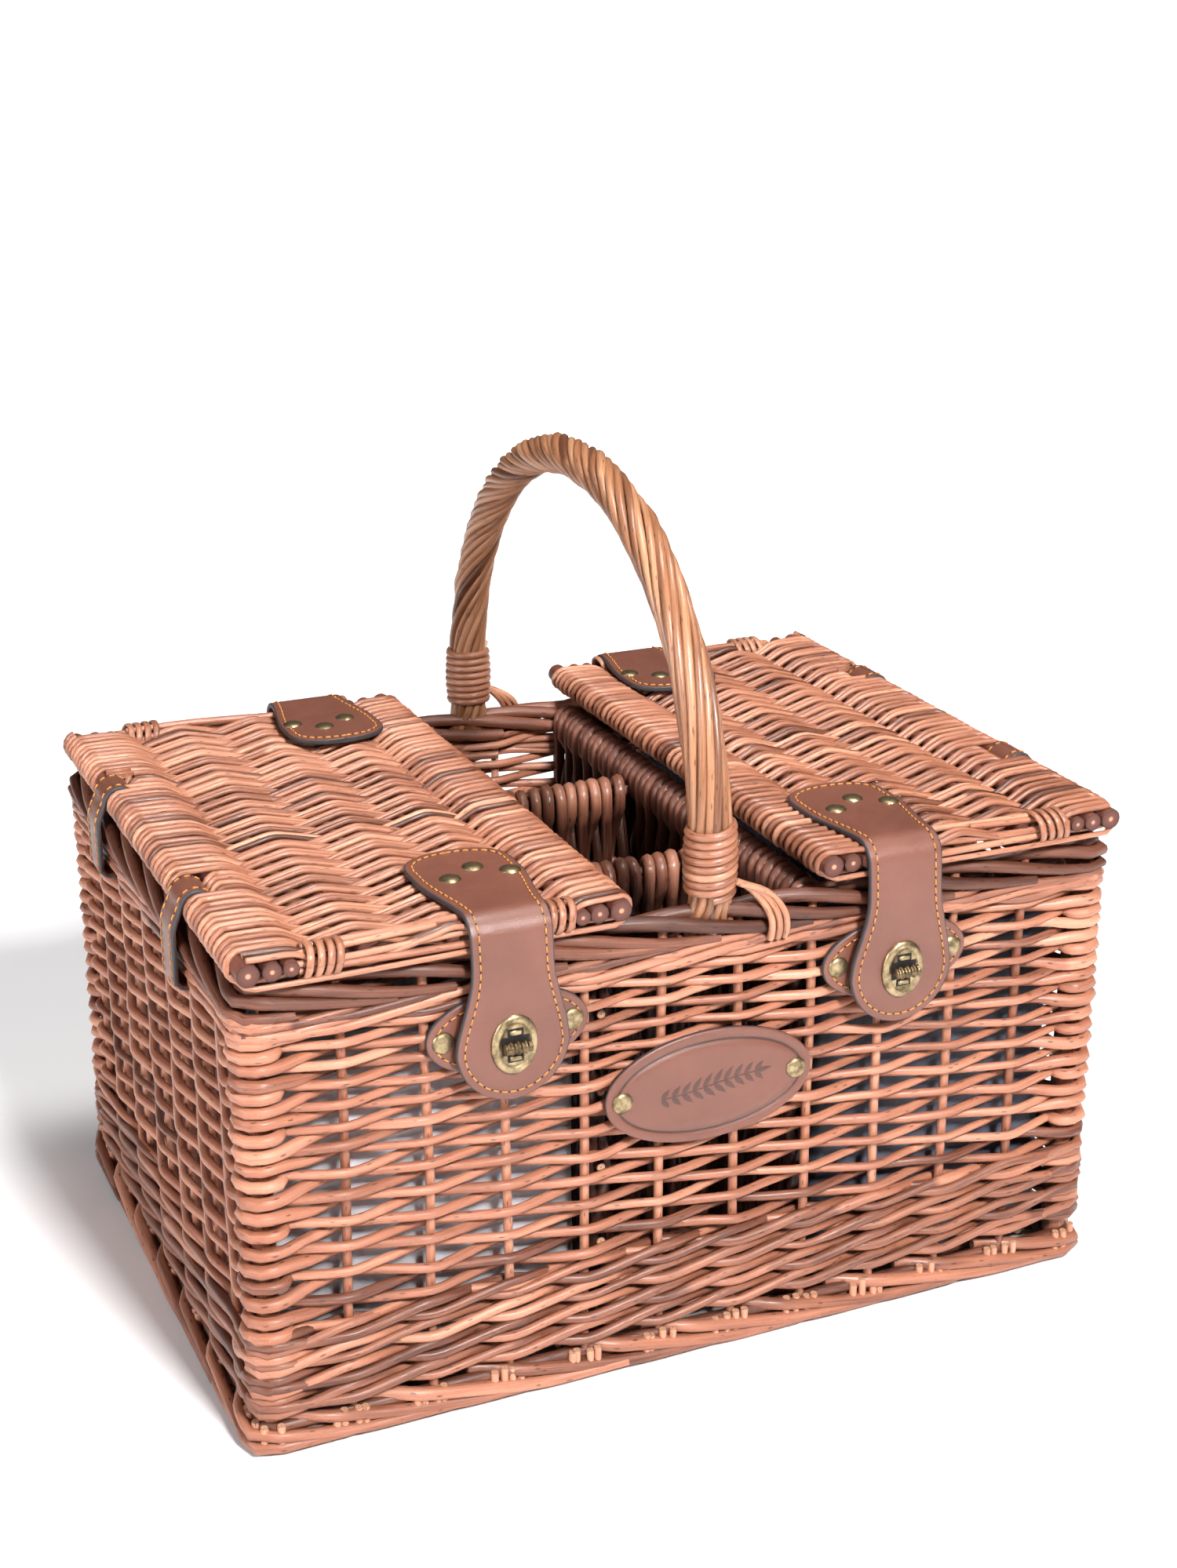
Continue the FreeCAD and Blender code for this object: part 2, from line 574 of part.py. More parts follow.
def make_strap(side, along, end, across):
    name = f"{across}_{along}"
    foot, middle = along + "_lid_foot", strap_line(side, end)
    # the flap hangs clear of the lid's edge, the catch studs and the lock's base plate
    out = "(backing + stud_rise + strap_gap + back_plate_thickness)"
    hang = f"({foot} + lid_thickness / 2)"

    anchor = doc.addObject("PartDesign::Body", name + "_bell")
    sketch = new_sketch(anchor, name + "_bell_sketch")
    anchor_outline(sketch)
    pad(anchor, sketch, name + "_bell_pad", "leather")
    drop = new_sketch(anchor, name + "_drop_sketch")
    drop_outline(drop)
    anchor.Tip = pad(anchor, drop, name + "_drop_pad", "4", reverse=True)
    edge_y = f"{end} * (wall_width / 2 + {out} + leather - anchor_drop)"
    keep(place(anchor, middle, edge_y, f"{foot} + lid_thickness", FLAT[end]), name + "_strap_anchor")

    flap = plate(name + "_tongue", "leather", lambda s: flap_outline(s, hang))
    keep(place(flap, middle, wall_face(end, out), hang, FACING[end]), name + "_strap_flap")

    rear = oval(name + "_washer_blank", "lock_length", "lock_breadth", "back_plate_thickness",
                middle, wall_face(end, f"({out} - back_plate_thickness)"), "lock_height",
                FACING[end], upright=True)
    bore = rod(name + "_washer_bore", "stem_radius + stem_clearance", "6", middle,
               wall_face(end, f"({out} - 3)"), "lock_height", FACING[end])
    keep(cut(name + "_washer", rear, bore), name + "_lock_back_plate")

    front = wall_face(end, f"({out} + leather)")
    blank = oval(name + "_bezel_blank", "lock_length", "lock_breadth", "bezel_thickness",
                 middle, front, "lock_height", FACING[end], upright=True)
    recess = oval(name + "_recess", "recess_length", "recess_breadth", "bezel_thickness",
                  middle, wall_face(end, f"({out} + leather + bezel_floor)"), "lock_height",
                  FACING[end], upright=True)
    low_y = front if end > 0 else wall_face(end, f"({out} + leather + bezel_thickness)")
    slot = box(name + "_slot", "slot_breadth", "bezel_thickness", "slot_length",
               f"{middle} - slot_breadth / 2", low_y, "lock_height - slot_length / 2")
    dished = cut(name + "_dished", blank, recess)
    keep(cut(name + "_bezel", dished, slot), name + "_lock_eyelet")
    keep(make_turn_button(name + "_button", middle, end, out), name + "_turn_button")


def lid_studs(side, along):
    """Three studs in an arc on each strap's upper end."""
    studs = []
    top = f"{along}_lid_foot + lid_thickness + leather"
    for end, across in ENDS:
        for number in (-1, 0, 1):
            reach = "lid_stud_reach" if number else "(lid_stud_reach + lid_stud_arc)"
            studs.append(dome(f"{across}_{along}_cap_{number + 1}",
                              f"{strap_line(side, end)} + {number} * lid_stud_pitch",
                              f"{end} * (lid_width / 2 - {reach})", top, UPRIGHT))
    return group(along + "_caps", studs)


# ---------------------------------------------------------------- assembly and export
make_base()
make_walls()
make_stakes()
make_inside()
make_handle()
make_catches()
make_hinge_loops()
for side, along in SIDES:
    make_lid(side, along)
    for end, across in ENDS:
        make_strap(side, along, end, across)
    keep(lid_studs(side, along), along + "_strap_studs")
doc.recompute()

for obj in doc.Objects:
    if {"Invalid", "Error"} & set(obj.State):
        raise SystemExit(f"{obj.Label} failed: {obj.State}")
labels = [obj.Label for obj in parts]
assert len(set(labels)) == len(labels) <= 60, "each sub-part needs a label of its own"
os.makedirs("parts", exist_ok=True)
for obj in parts:
    if obj.Shape.isNull() or not obj.Shape.isValid() or not obj.Shape.Solids:
        raise SystemExit(f"{obj.Label} has no valid solid")
    obj.Shape.exportStep(os.path.join("parts", obj.Label + ".step"))
    print(f"{obj.Label:28s} {len(obj.Shape.Solids):3d} solids {obj.Shape.Volume / 1000:9.2f} cm3")
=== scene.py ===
"""The looks of a woven willow picnic hamper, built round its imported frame.

Rods, leather and metal are laid out in millimetres and turned into metres when a mesh is made.
"""
import math
import bpy
import numpy as np
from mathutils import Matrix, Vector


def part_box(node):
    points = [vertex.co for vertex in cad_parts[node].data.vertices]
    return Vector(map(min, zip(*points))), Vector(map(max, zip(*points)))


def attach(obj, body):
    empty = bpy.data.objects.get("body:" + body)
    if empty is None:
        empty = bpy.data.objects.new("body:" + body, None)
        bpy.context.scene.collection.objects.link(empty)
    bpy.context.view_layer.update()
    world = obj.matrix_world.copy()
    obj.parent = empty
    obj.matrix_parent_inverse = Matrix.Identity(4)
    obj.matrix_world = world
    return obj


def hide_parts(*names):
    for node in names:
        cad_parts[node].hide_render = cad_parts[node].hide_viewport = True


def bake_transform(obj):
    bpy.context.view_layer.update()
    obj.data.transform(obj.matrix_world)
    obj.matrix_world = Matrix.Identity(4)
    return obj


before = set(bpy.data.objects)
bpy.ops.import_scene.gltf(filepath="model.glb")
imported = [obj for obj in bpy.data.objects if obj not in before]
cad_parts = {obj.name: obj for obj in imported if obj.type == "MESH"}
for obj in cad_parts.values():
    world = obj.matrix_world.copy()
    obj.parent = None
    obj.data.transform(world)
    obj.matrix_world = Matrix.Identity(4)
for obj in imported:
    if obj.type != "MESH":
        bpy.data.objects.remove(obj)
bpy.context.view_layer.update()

MM = 0.001
RNG = np.random.default_rng(41)
UP, ALONG_X, ALONG_Y = np.eye(3)[2], np.eye(3)[0], np.eye(3)[1]


def box(node):
    """A node's lowest and highest corners in millimetres."""
    low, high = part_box(node)
    return np.array(low) / MM, np.array(high) / MM


# ---------------------------------------------------------------- meshes
def make_piece(name, co, quads, tris, materials, indices=None, fields=None):
    """A mesh object from arrays in millimetres; fields are named values held at its points."""
    mesh = bpy.data.meshes.new(name)
    mesh.vertices.add(len(co))
    mesh.vertices.foreach_set("co", (np.asarray(co, np.float32) * MM).ravel())
    quads, tris = np.asarray(quads, int).reshape(-1, 4), np.asarray(tris, int).reshape(-1, 3)
    sizes = np.concatenate([np.full(len(quads), 4), np.full(len(tris), 3)])
    corners = np.concatenate([quads.ravel(), tris.ravel()])
    mesh.loops.add(len(corners))
    mesh.loops.foreach_set("vertex_index", corners)
    mesh.polygons.add(len(sizes))
    mesh.polygons.foreach_set("loop_start", np.concatenate([[0], np.cumsum(sizes)[:-1]]))
    for material in materials:
        mesh.materials.append(material)
    if indices is not None:
        mesh.polygons.foreach_set("material_index", np.asarray(indices, int))
    mesh.update(calc_edges=True)
    for field, values in (fields or {}).items():
        values = np.asarray(values, np.float32)
        kind, key = ("FLOAT_VECTOR", "vector") if values.ndim == 2 else ("FLOAT", "value")
        mesh.attributes.new(field, kind, "POINT").data.foreach_set(key, values.ravel())
    mesh.shade_smooth()
    piece = bpy.data.objects.new(name, mesh)
    bpy.context.scene.collection.objects.link(piece)
    return piece


def settle(piece, body, slot, *nodes):
    """Let a finished piece ride on a body and stand for CAD nodes, which it hides; slot is not used."""
    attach(piece, body)
    if nodes:
        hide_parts(*nodes)
    return piece


def unit(vectors):
    return vectors / np.maximum(np.linalg.norm(vectors, axis=-1, keepdims=True), 1e-9)


class Rods:
    """Collects round rods in one mesh, with the values that the willow materials read."""

    def __init__(self, sides=8):
        self.sides, self.count = sides, 0
        self.co, self.quads, self.tris = [], [], []
        self.grain, self.tint, self.cut = [], [], []

    def add(self, path, radius, tint, aside=UP, flat=1.0, ends=(True, True)):
        """One rod along a path. aside is a direction that its path never follows, and flat squeezes
        it at right angles to that. grain runs with the rod; cut is 1 to 2 on its sawn ends."""
        path = np.asarray(path, float)
        number, sides = len(path), self.sides
        tangent = unit(np.gradient(path, axis=0))
        across = unit(np.cross(tangent, np.broadcast_to(aside, path.shape)))
        over = np.cross(across, tangent)
        radius = np.broadcast_to(np.asarray(radius, float), (number,))[:, None, None]
        tint = np.broadcast_to(np.asarray(tint, float), (number,))
        angle = np.arange(sides) * 2 * math.pi / sides
        cos, sin = np.cos(angle)[None, :, None], np.sin(angle)[None, :, None]
        ring = path[:, None] + radius * (flat * cos * across[:, None] + sin * over[:, None])
        length = np.concatenate([[0], np.cumsum(np.linalg.norm(np.diff(path, axis=0), axis=1))])
        shift = RNG.uniform(0, 90)
        grain = np.stack(np.broadcast_arrays(
            (length / 80 + shift)[:, None], 0.35 * np.cos(angle)[None] + shift,
            0.35 * np.sin(angle)[None]), axis=-1)
        row = np.arange(number - 1)[:, None] * sides + self.count
        here, following = np.arange(sides), (np.arange(sides) + 1) % sides
        self.quads.append(np.stack([row + here, row + following, row + sides + following,
                                    row + sides + here], axis=-1).reshape(-1, 4))
        self._keep(ring.reshape(-1, 3), grain.reshape(-1, 3), np.repeat(tint, sides), 0.0)
        for at, wanted in ((0, ends[0]), (number - 1, ends[1])):
            if wanted:
                rim, start = ring[at], self.count
                self._keep(rim, grain[at], np.repeat(tint[at], sides), 1.0)
                self._keep(path[at][None], grain[at][:1], tint[at][None], 2.0)
                fan = np.stack([start + here, start + following, np.full(sides, start + sides)], -1)
                self.tris.append(fan[:, ::-1] if at == 0 else fan)

    def _keep(self, co, grain, tint, cut):
        self.co.append(co)
        self.grain.append(grain)
        self.tint.append(tint)
        self.cut.append(np.full(len(co), cut))
        self.count += len(co)

    def build(self, name, material):
        none = np.zeros((0, 3), int)
        return make_piece(name, np.concatenate(self.co), np.concatenate(self.quads),
                          np.concatenate(self.tris) if self.tris else none, [material],
                          fields={"grain": np.concatenate(self.grain),
                                  "tint": np.concatenate(self.tint),
                                  "cut": np.concatenate(self.cut)})


def smooth(values, times=2):
    """Round the corners of a list of points or numbers, leaving its ends."""
    values = np.array(values, float)
    for _ in range(times):
        values[1:-1] = (values[:-2] + 2 * values[1:-1] + values[2:]) / 4
    return values


def step(value, low, high):
    """0 below low, 1 above high, smooth between."""
    share = np.clip((np.asarray(value, float) - low) / (high - low), 0, 1)
    return share * share * (3 - 2 * share)


def wander(count, size, coarse):
    """A slowly varying random line of count values, with a knot every coarse values."""
    knots = RNG.normal(0, size, count // coarse + 3)
    return np.interp(np.arange(count) / coarse, np.arange(len(knots)), knots)


def rod_tint():
    """One rod's shade: mostly middling, a few of them dark."""
    return RNG.uniform(0.0, 0.18) if RNG.random() < 0.05 else np.clip(RNG.normal(0.55, 0.16), 0.2, 1)


# ---------------------------------------------------------------- materials
def nodes_of(material):
    material.use_nodes = True
    tree = material.node_tree
    return tree, tree.nodes["Principled BSDF"]


class Wiring:
    """Short ways to add and join shader nodes."""

    def __init__(self, name, **sockets):
        self.material = bpy.data.materials.new(name)
        self.tree, self.shader = nodes_of(self.material)
        for socket, value in sockets.items():
            self.shader.inputs[socket.replace("_", " ")].default_value = value

    def join(self, source, target):
        if hasattr(source, "is_output"):
            self.tree.links.new(source, target)
        else:
            target.default_value = source

    def attribute(self, name, output="Fac"):
        node = self.tree.nodes.new("ShaderNodeAttribute")
        node.attribute_name = name
        return node.outputs[output]

    def place(self):
        return self.tree.nodes.new("ShaderNodeTexCoord").outputs["Object"]

    def stretch(self, vector, scale):
        node = self.tree.nodes.new("ShaderNodeMapping")
        node.inputs["Scale"].default_value = scale
        self.join(vector, node.inputs["Vector"])
        return node.outputs[0]

    def noise(self, vector, scale, detail=3.0, rough=0.5):
        node = self.tree.nodes.new("ShaderNodeTexNoise")
        self.join(vector, node.inputs["Vector"])
        for name, value in (("Scale", scale), ("Detail", detail), ("Roughness", rough)):
            node.inputs[name].default_value = value
        return node.outputs["Fac"]

    def spots(self, vector, scale):
        node = self.tree.nodes.new("ShaderNodeTexVoronoi")
        self.join(vector, node.inputs["Vector"])
        node.inputs["Scale"].default_value = scale
        return node.outputs["Distance"]

    def sum(self, kind, first, second, clamp=False):
        node = self.tree.nodes.new("ShaderNodeMath")
        node.operation, node.use_clamp = kind, clamp
        self.join(first, node.inputs[0])
        self.join(second, node.inputs[1])
        return node.outputs[0]

    def spread(self, value, low, high, start=0.0, end=1.0):
        node = self.tree.nodes.new("ShaderNodeMapRange")
        self.join(value, node.inputs["Value"])
        for name, number in (("From Min", low), ("From Max", high), ("To Min", start), ("To Max", end)):
            node.inputs[name].default_value = number
        return node.outputs[0]

    def ramp(self, value, stops):
        node = self.tree.nodes.new("ShaderNodeValToRGB")
        self.join(value, node.inputs[0])
        band = node.color_ramp.elements
        while len(band) < len(stops):
            band.new(0.5)
        for element, (at, colour) in zip(band, stops):
            element.position, element.color = at, (*colour, 1)
        return node.outputs[0]

    def mix(self, share, first, second, kind="MIX"):
        node = self.tree.nodes.new("ShaderNodeMix")
        node.data_type, node.blend_type = "RGBA", kind
        self.join(share, node.inputs[0])
        for source, socket in ((first, node.inputs[6]), (second, node.inputs[7])):
            self.join((*source, 1) if isinstance(source, tuple) else source, socket)
        return node.outputs[2]

    def bump(self, height, distance, strength=1.0):
        node = self.tree.nodes.new("ShaderNodeBump")
        node.inputs["Strength"].default_value = strength
        node.inputs["Distance"].default_value = distance
        self.join(height, node.inputs["Height"])
        self.join(node.outputs[0], self.shader.inputs["Normal"])


PALE_ENDS = ((0.56, 0.30, 0.17), (0.66, 0.40, 0.25), (0.30, 0.13, 0.08))
DARK_ENDS = ((0.085, 0.026, 0.017), (0.125, 0.040, 0.026), (0.50, 0.25, 0.16))


def willow(name, dark, middle, light, roughness=0.5, coat=0.0, depth=0.00025, ends=PALE_ENDS):
    """Willow rod: shades from rod to rod, streaks along the grain, dark specks and knots, and sawn
    ends with a pith."""
    w = Wiring(name, Coat_Weight=coat, Coat_Roughness=0.25, Specular_IOR_Level=0.45)
    grain, tint, cut = w.attribute("grain", "Vector"), w.attribute("tint"), w.attribute("cut")
    mottle = w.noise(w.stretch(grain, (1, 1, 1)), 2.2, 4)
    streak = w.noise(w.stretch(grain, (0.7, 7, 7)), 2.5, 5, 0.6)
    shade = w.sum("ADD", w.sum("MULTIPLY", w.sum("SUBTRACT", mottle, 0.5), 0.75), tint)
    shade = w.sum("ADD", shade, w.sum("MULTIPLY", w.sum("SUBTRACT", streak, 0.5), 0.7), True)
    colour = w.ramp(shade, [(0.0, dark), (0.5, middle), (1.0, light)])
    speck = w.spread(w.spots(w.stretch(grain, (5.0, 2.0, 2.0)), 1.6), 0.10, 0.2, 0.75, 0.0)
    fleck = w.spread(w.noise(w.stretch(grain, (9, 4, 4)), 4, 2), 0.66, 0.74, 0.0, 0.55)
    colour = w.mix(w.sum("MAXIMUM", speck, fleck), colour, tuple(c * 0.35 for c in dark))
    pith = w.ramp(w.spread(cut, 1.0, 2.0),
                  [(0.0, tuple(c * 0.7 for c in dark)), (0.16, ends[0]), (0.7, ends[1]), (0.86, ends[2])])
    colour = w.mix(w.spread(cut, 0.98, 1.0), colour, pith)
    w.join(colour, w.shader.inputs["Base Color"])
    w.join(w.spread(streak, 0.3, 0.7, roughness - 0.1, roughness + 0.12), w.shader.inputs["Roughness"])
    ridge = w.sum("ADD", streak, w.sum("MULTIPLY", w.noise(w.stretch(grain, (26, 3, 3)), 2, 2), 0.5))
    w.bump(ridge, depth)
    return w.material


def hide(name, colour, darker, roughness=0.42):
    """Smooth dressed leather with a fine pebble grain and soft tone changes."""
    w = Wiring(name, Specular_IOR_Level=0.5, Coat_Weight=0.3, Coat_Roughness=0.45)
    place = w.place()
    tone = w.noise(place, 28, 4)
    grain = w.spots(place, 1500)
    w.join(w.mix(w.spread(tone, 0.3, 0.7), darker, colour), w.shader.inputs["Base Color"])
    w.join(w.spread(w.noise(place, 160, 3), 0.3, 0.7, roughness - 0.07, roughness + 0.1),
           w.shader.inputs["Roughness"])
    w.bump(w.sum("ADD", grain, w.noise(place, 420, 3)), 0.00012, 0.55)
    return w.material


def plain(name, colour, roughness, vary=0.25, size=300, depth=0.0001):
    """Small hard things such as painted edges and thread, with a little unevenness."""
    w = Wiring(name, Specular_IOR_Level=0.4)
    patch = w.noise(w.place(), size, 3)
    low = tuple(c * (1 - vary) for c in colour)
    high = tuple(min(c * (1 + vary), 1) for c in colour)
    w.join(w.mix(patch, low, high), w.shader.inputs["Base Color"])
    w.join(w.spread(patch, 0.3, 0.7, roughness - 0.05, roughness + 0.05), w.shader.inputs["Roughness"])
    w.bump(patch, depth, 0.6)
    return w.material


def antique(name, bright, tarnish):
    """Antique brass: rubbed bright metal with dark olive tarnish left in patches."""
    w = Wiring(name, Metallic=1.0)
    place = w.place()
    patch = w.spread(w.noise(place, 190, 5, 0.65), 0.40, 0.66)
    w.join(w.mix(patch, bright, tarnish), w.shader.inputs["Base Color"])
    w.join(w.spread(patch, 0, 1, 0.36, 0.52), w.shader.inputs["Roughness"])
    w.bump(w.noise(place, 700, 3), 0.00008, 0.5)
    return w.material


def cloth(name, dark, light, roughness, creases=22):
    """Lining cloth with an even fine weave, and broad soft creases painted into its colour: painted shade in
    the folds and painted sheen in the bands between.
    """
    w = Wiring(name, Sheen_Weight=0.25, Specular_IOR_Level=0.5)
    place = w.place()
    crease = w.noise(w.stretch(place, (1, 1, 0.45)), creases, 4, 0.6)
    # painted shade in the creases and painted sheen bands between them, where the cloth is also less rough
    w.join(w.ramp(crease, [(0.34, dark), (0.66, light)]), w.shader.inputs["Base Color"])
    w.join(w.spread(crease, 0.3, 0.7, roughness + 0.1, roughness - 0.08), w.shader.inputs["Roughness"])
    threads = w.sum("ADD", w.noise(w.stretch(place, (900, 900, 40)), 1, 1),
                    w.noise(w.stretch(place, (40, 40, 900)), 1, 1))
    w.bump(threads, 0.0002, 0.5)
    return w.material


WEAVE = willow("willow_weave", (0.09, 0.024, 0.011), (0.38, 0.143, 0.080), (0.60, 0.285, 0.178), 0.42, 0.2)
BAND = willow("willow_band", (0.05, 0.014, 0.007), (0.17, 0.056, 0.030), (0.40, 0.170, 0.100), 0.48, 0.08)
LID = willow("willow_lid", (0.07, 0.019, 0.008), (0.33, 0.122, 0.065), (0.56, 0.265, 0.160), 0.36, 0.35)
HANDLE = willow("willow_handle", (0.08, 0.024, 0.009), (0.30, 0.124, 0.056), (0.52, 0.265, 0.143), 0.32, 0.5)
SKEIN = willow("willow_skein", (0.12, 0.038, 0.018), (0.33, 0.128, 0.069), (0.56, 0.275, 0.162), 0.3, 0.5)
STICK = willow("willow_stick", (0.05, 0.014, 0.009), (0.15, 0.046, 0.028), (0.25, 0.092, 0.058), 0.55, 0.0,
               ends=DARK_ENDS)
# a much darker copy of the willow for the partitions inside the basket: painted shade
INSIDE_SHADE = willow("willow_inside_painted_shade", (0.045, 0.013, 0.007), (0.14, 0.048, 0.029), (0.29, 0.115, 0.071),
                0.34, 0.3)
# darker willow for the bottle dividers deep in the basket: partly their own darker brown, partly painted
# shade
WRAP = willow("willow_wrap", (0.03, 0.009, 0.005), (0.22, 0.082, 0.048), (0.42, 0.190, 0.117), 0.34, 0.3)
LEATHER = hide("brown_leather", (0.165, 0.056, 0.035), (0.130, 0.043, 0.026))
PRESSED = hide("pressed_leather", (0.075, 0.024, 0.014), (0.052, 0.017, 0.010), 0.45)
EDGE = plain("painted_edge", (0.040, 0.037, 0.040), 0.5)
THREAD = plain("orange_thread", (0.52, 0.215, 0.045), 0.6, 0.3, 900)
# near-black: the stitch holes, and on the locks a cross of painted shade for the slot's recess and the
# barrel's shadow
HOLE_AND_SHADOW = plain("dark_hole_and_painted_shadow", (0.008, 0.006, 0.006), 0.7)
BRASS = antique("antique_brass", (0.46, 0.350, 0.200), (0.13, 0.096, 0.052))
WORN = antique("worn_brass", (0.24, 0.170, 0.095), (0.045, 0.032, 0.018))
GREY = cloth("grey_cloth", (0.28, 0.265, 0.28), (0.60, 0.58, 0.61), 0.34)
NAVY = cloth("dark_cloth", (0.030, 0.034, 0.052), (0.13, 0.135, 0.18), 0.4)


# ---------------------------------------------------------------- the walls' rows
POST_X, POST_Y = (box("corner_posts")[1][:2] - 6.5)      # middles of the corner posts
WALL_X = box("right_wall")[1][0] - 7
TURN = WALL_X - POST_X                                    # the rows' middle line clears a post by this
FRONT_STAKES = 40 * (np.arange(10) - 4.5)
SIDE_STAKES = 46 * (np.arange(7) - 3.0)


class Course:
    """The line that the rows follow round the basket, with its stakes and corner posts."""

    def __init__(self):
        self.lines = 2 * np.array([POST_X, POST_Y, POST_X, POST_Y])
        bend = TURN * math.pi / 2
        turns = [(POST_X, -POST_Y), (POST_X, POST_Y), (-POST_X, POST_Y), (-POST_X, -POST_Y)]
        points, angles, distances, run = [], [], [], 0.0
        self.stations, self.posts = [], []
        stakes = [FRONT_STAKES + POST_X, SIDE_STAKES + POST_Y] * 2
        for side, (length, (x, y)) in enumerate(zip(self.lines, turns)):
            facing = (side - 1) * math.pi / 2
            outward = np.array([math.cos(facing), math.sin(facing)])
            forward = np.array([-outward[1], outward[0]])
            corner = np.array([x, y])
            for at in (0, length):
                points.append(corner + outward * TURN + forward * (at - length))
                angles.append(facing)
                distances.append(run + at)
            for place in stakes[side]:
                self.stations.append(run + place)
                self.posts.append(False)
            self.stations.append(run + length + bend / 2)
            self.posts.append(True)
            for part in np.linspace(0, 1, 7)[1:-1]:
                turned = facing + part * math.pi / 2
                points.append(corner + TURN * np.array([math.cos(turned), math.sin(turned)]))
                angles.append(turned)
                distances.append(run + length + part * bend)
            run += length + bend
        self.total = run
        points.append(points[0])
        angles.append(angles[0] + 2 * math.pi)
        distances.append(run)
        self.points, self.angles, self.distances = map(np.array, (points, angles, distances))
        self.stations, self.posts = np.array(self.stations), np.array(self.posts)

    def place(self, along, out, height):
        """Points at distances along the line, out from it and at given heights."""
        turn, rest = np.divmod(along, self.total)
        x = np.interp(rest, self.distances, self.points[:, 0])
        y = np.interp(rest, self.distances, self.points[:, 1])
        angle = np.interp(rest, self.distances, self.angles)
        return np.stack([x + out * np.cos(angle), y + out * np.sin(angle),
                         np.broadcast_to(height, x.shape)], axis=-1)

    def held(self, along, values, rounds, plateau=2.2):
        """Values held at every station over whole rounds, with straight slopes between."""
        knots, held = [], []
        many = len(self.stations)
        for number in range(many * rounds):
            at = self.stations[number % many] + self.total * (number // many)
            half = 6.5 if self.posts[number % many] else plateau
            knots += [at - half, at + half]
            held += [values[number]] * 2
        return np.interp(along, knots, held)


COURSE = Course()
AMPLITUDE = 4.7
RANDING_FOOT, RANDING_TOP = 64.0, 214.0


def rod_changes(along, every):
    """Shade and thickness factor along a row that is pieced from several rods."""
    knots = np.cumsum(RNG.uniform(0.6, 1.4, int((along[-1] - along[0]) / every) + 3) * every)
    which = np.searchsorted(knots, along - along[0])
    tints = np.array([rod_tint() for _ in range(len(knots) + 1)])
    sizes = RNG.uniform(0.88, 1.12, len(knots) + 1)
    starts = np.concatenate([[0], knots])
    taper = 1.08 - 0.16 * (along - along[0] - starts[which]) / every
    return tints[which], smooth(sizes[which] * taper, 1)


def near(along, place, reach):
    """1 at a place on the course, falling smoothly to 0 at a distance from it."""
    gap = np.abs((along - place + COURSE.total / 2) % COURSE.total - COURSE.total / 2)
    return 1 - step(gap, reach * 0.35, reach)


def row_levels():
    """The plain rows' heights, which draw together towards the rim, and their spacings."""
    levels, gaps = [RANDING_FOOT], []
    while levels[-1] < RANDING_TOP:
        gaps.append(6.7 - 1.7 * float(step(levels[-1], 100, 200)))
        levels.append(levels[-1] + gaps[-1])
    return levels[:-1], gaps


def add_knuckle(rods, post, level):
    """A short thick turn round a corner post that fills out the height between two rows."""
    side = np.array([12.3, 12.9, 12.2, 10.4, 7.5, 3.8])
    out = np.array([-7.0, -2.8, 1.2, 3.6, AMPLITUDE, AMPLITUDE + 0.2])
    along = post + np.concatenate([-side, [0], side[::-1]])
    path = COURSE.place(along, np.concatenate([out, out[-1:], out[::-1]]), level)
    path[:, 2] += RNG.uniform(-0.5, 0.5) * np.linspace(-1, 1, len(path))
    rods.add(path, RNG.uniform(2.9, 3.3), rod_tint())


def make_wall_weave():
    """Plain rows, each before and behind the stakes in turn. Where they turn a corner outside its
    post they are thick butts, spaced evenly with knuckles between every other two."""
    rods = Rods()
    many = len(COURSE.stations)
    posts = [(COURSE.stations[number], number % 2) for number in np.flatnonzero(COURSE.posts)]
    for number, (height, gap) in enumerate(zip(*row_levels())):
        signs = np.where((np.arange(many * 2) + number) % 2 == 0, 1.0, -1.0)
        inside = np.flatnonzero(signs[:many] < 0)
        start = COURSE.stations[RNG.choice(inside[(inside > 19) & (inside < 28)])]
        along = np.arange(start, start + COURSE.total + 6, 3.6)
        out = AMPLITUDE * smooth(COURSE.held(along, signs, 2), 1) + wander(len(along), 0.25, 9)
        tint, size = rod_changes(along, 330)
        level = height + smooth(wander(len(along), 0.7, 8), 1)
        for post, parity in posts:
            turn = (number - parity) % 4
            if turn % 2 == 0:
                level += near(along, post, 27) * (1 - turn) * gap / 3
                size = size * (1 + 0.34 * near(along, post, 40))
            elif turn == 3:
                add_knuckle(rods, post, height)
        rods.add(COURSE.place(along, out, level), 2.3 * size, tint)
    piece = rods.build("wall_weave", WEAVE)
    settle(piece, "basket", "willow_weave", "front_wall", "rear_wall", "left_wall", "right_wall")


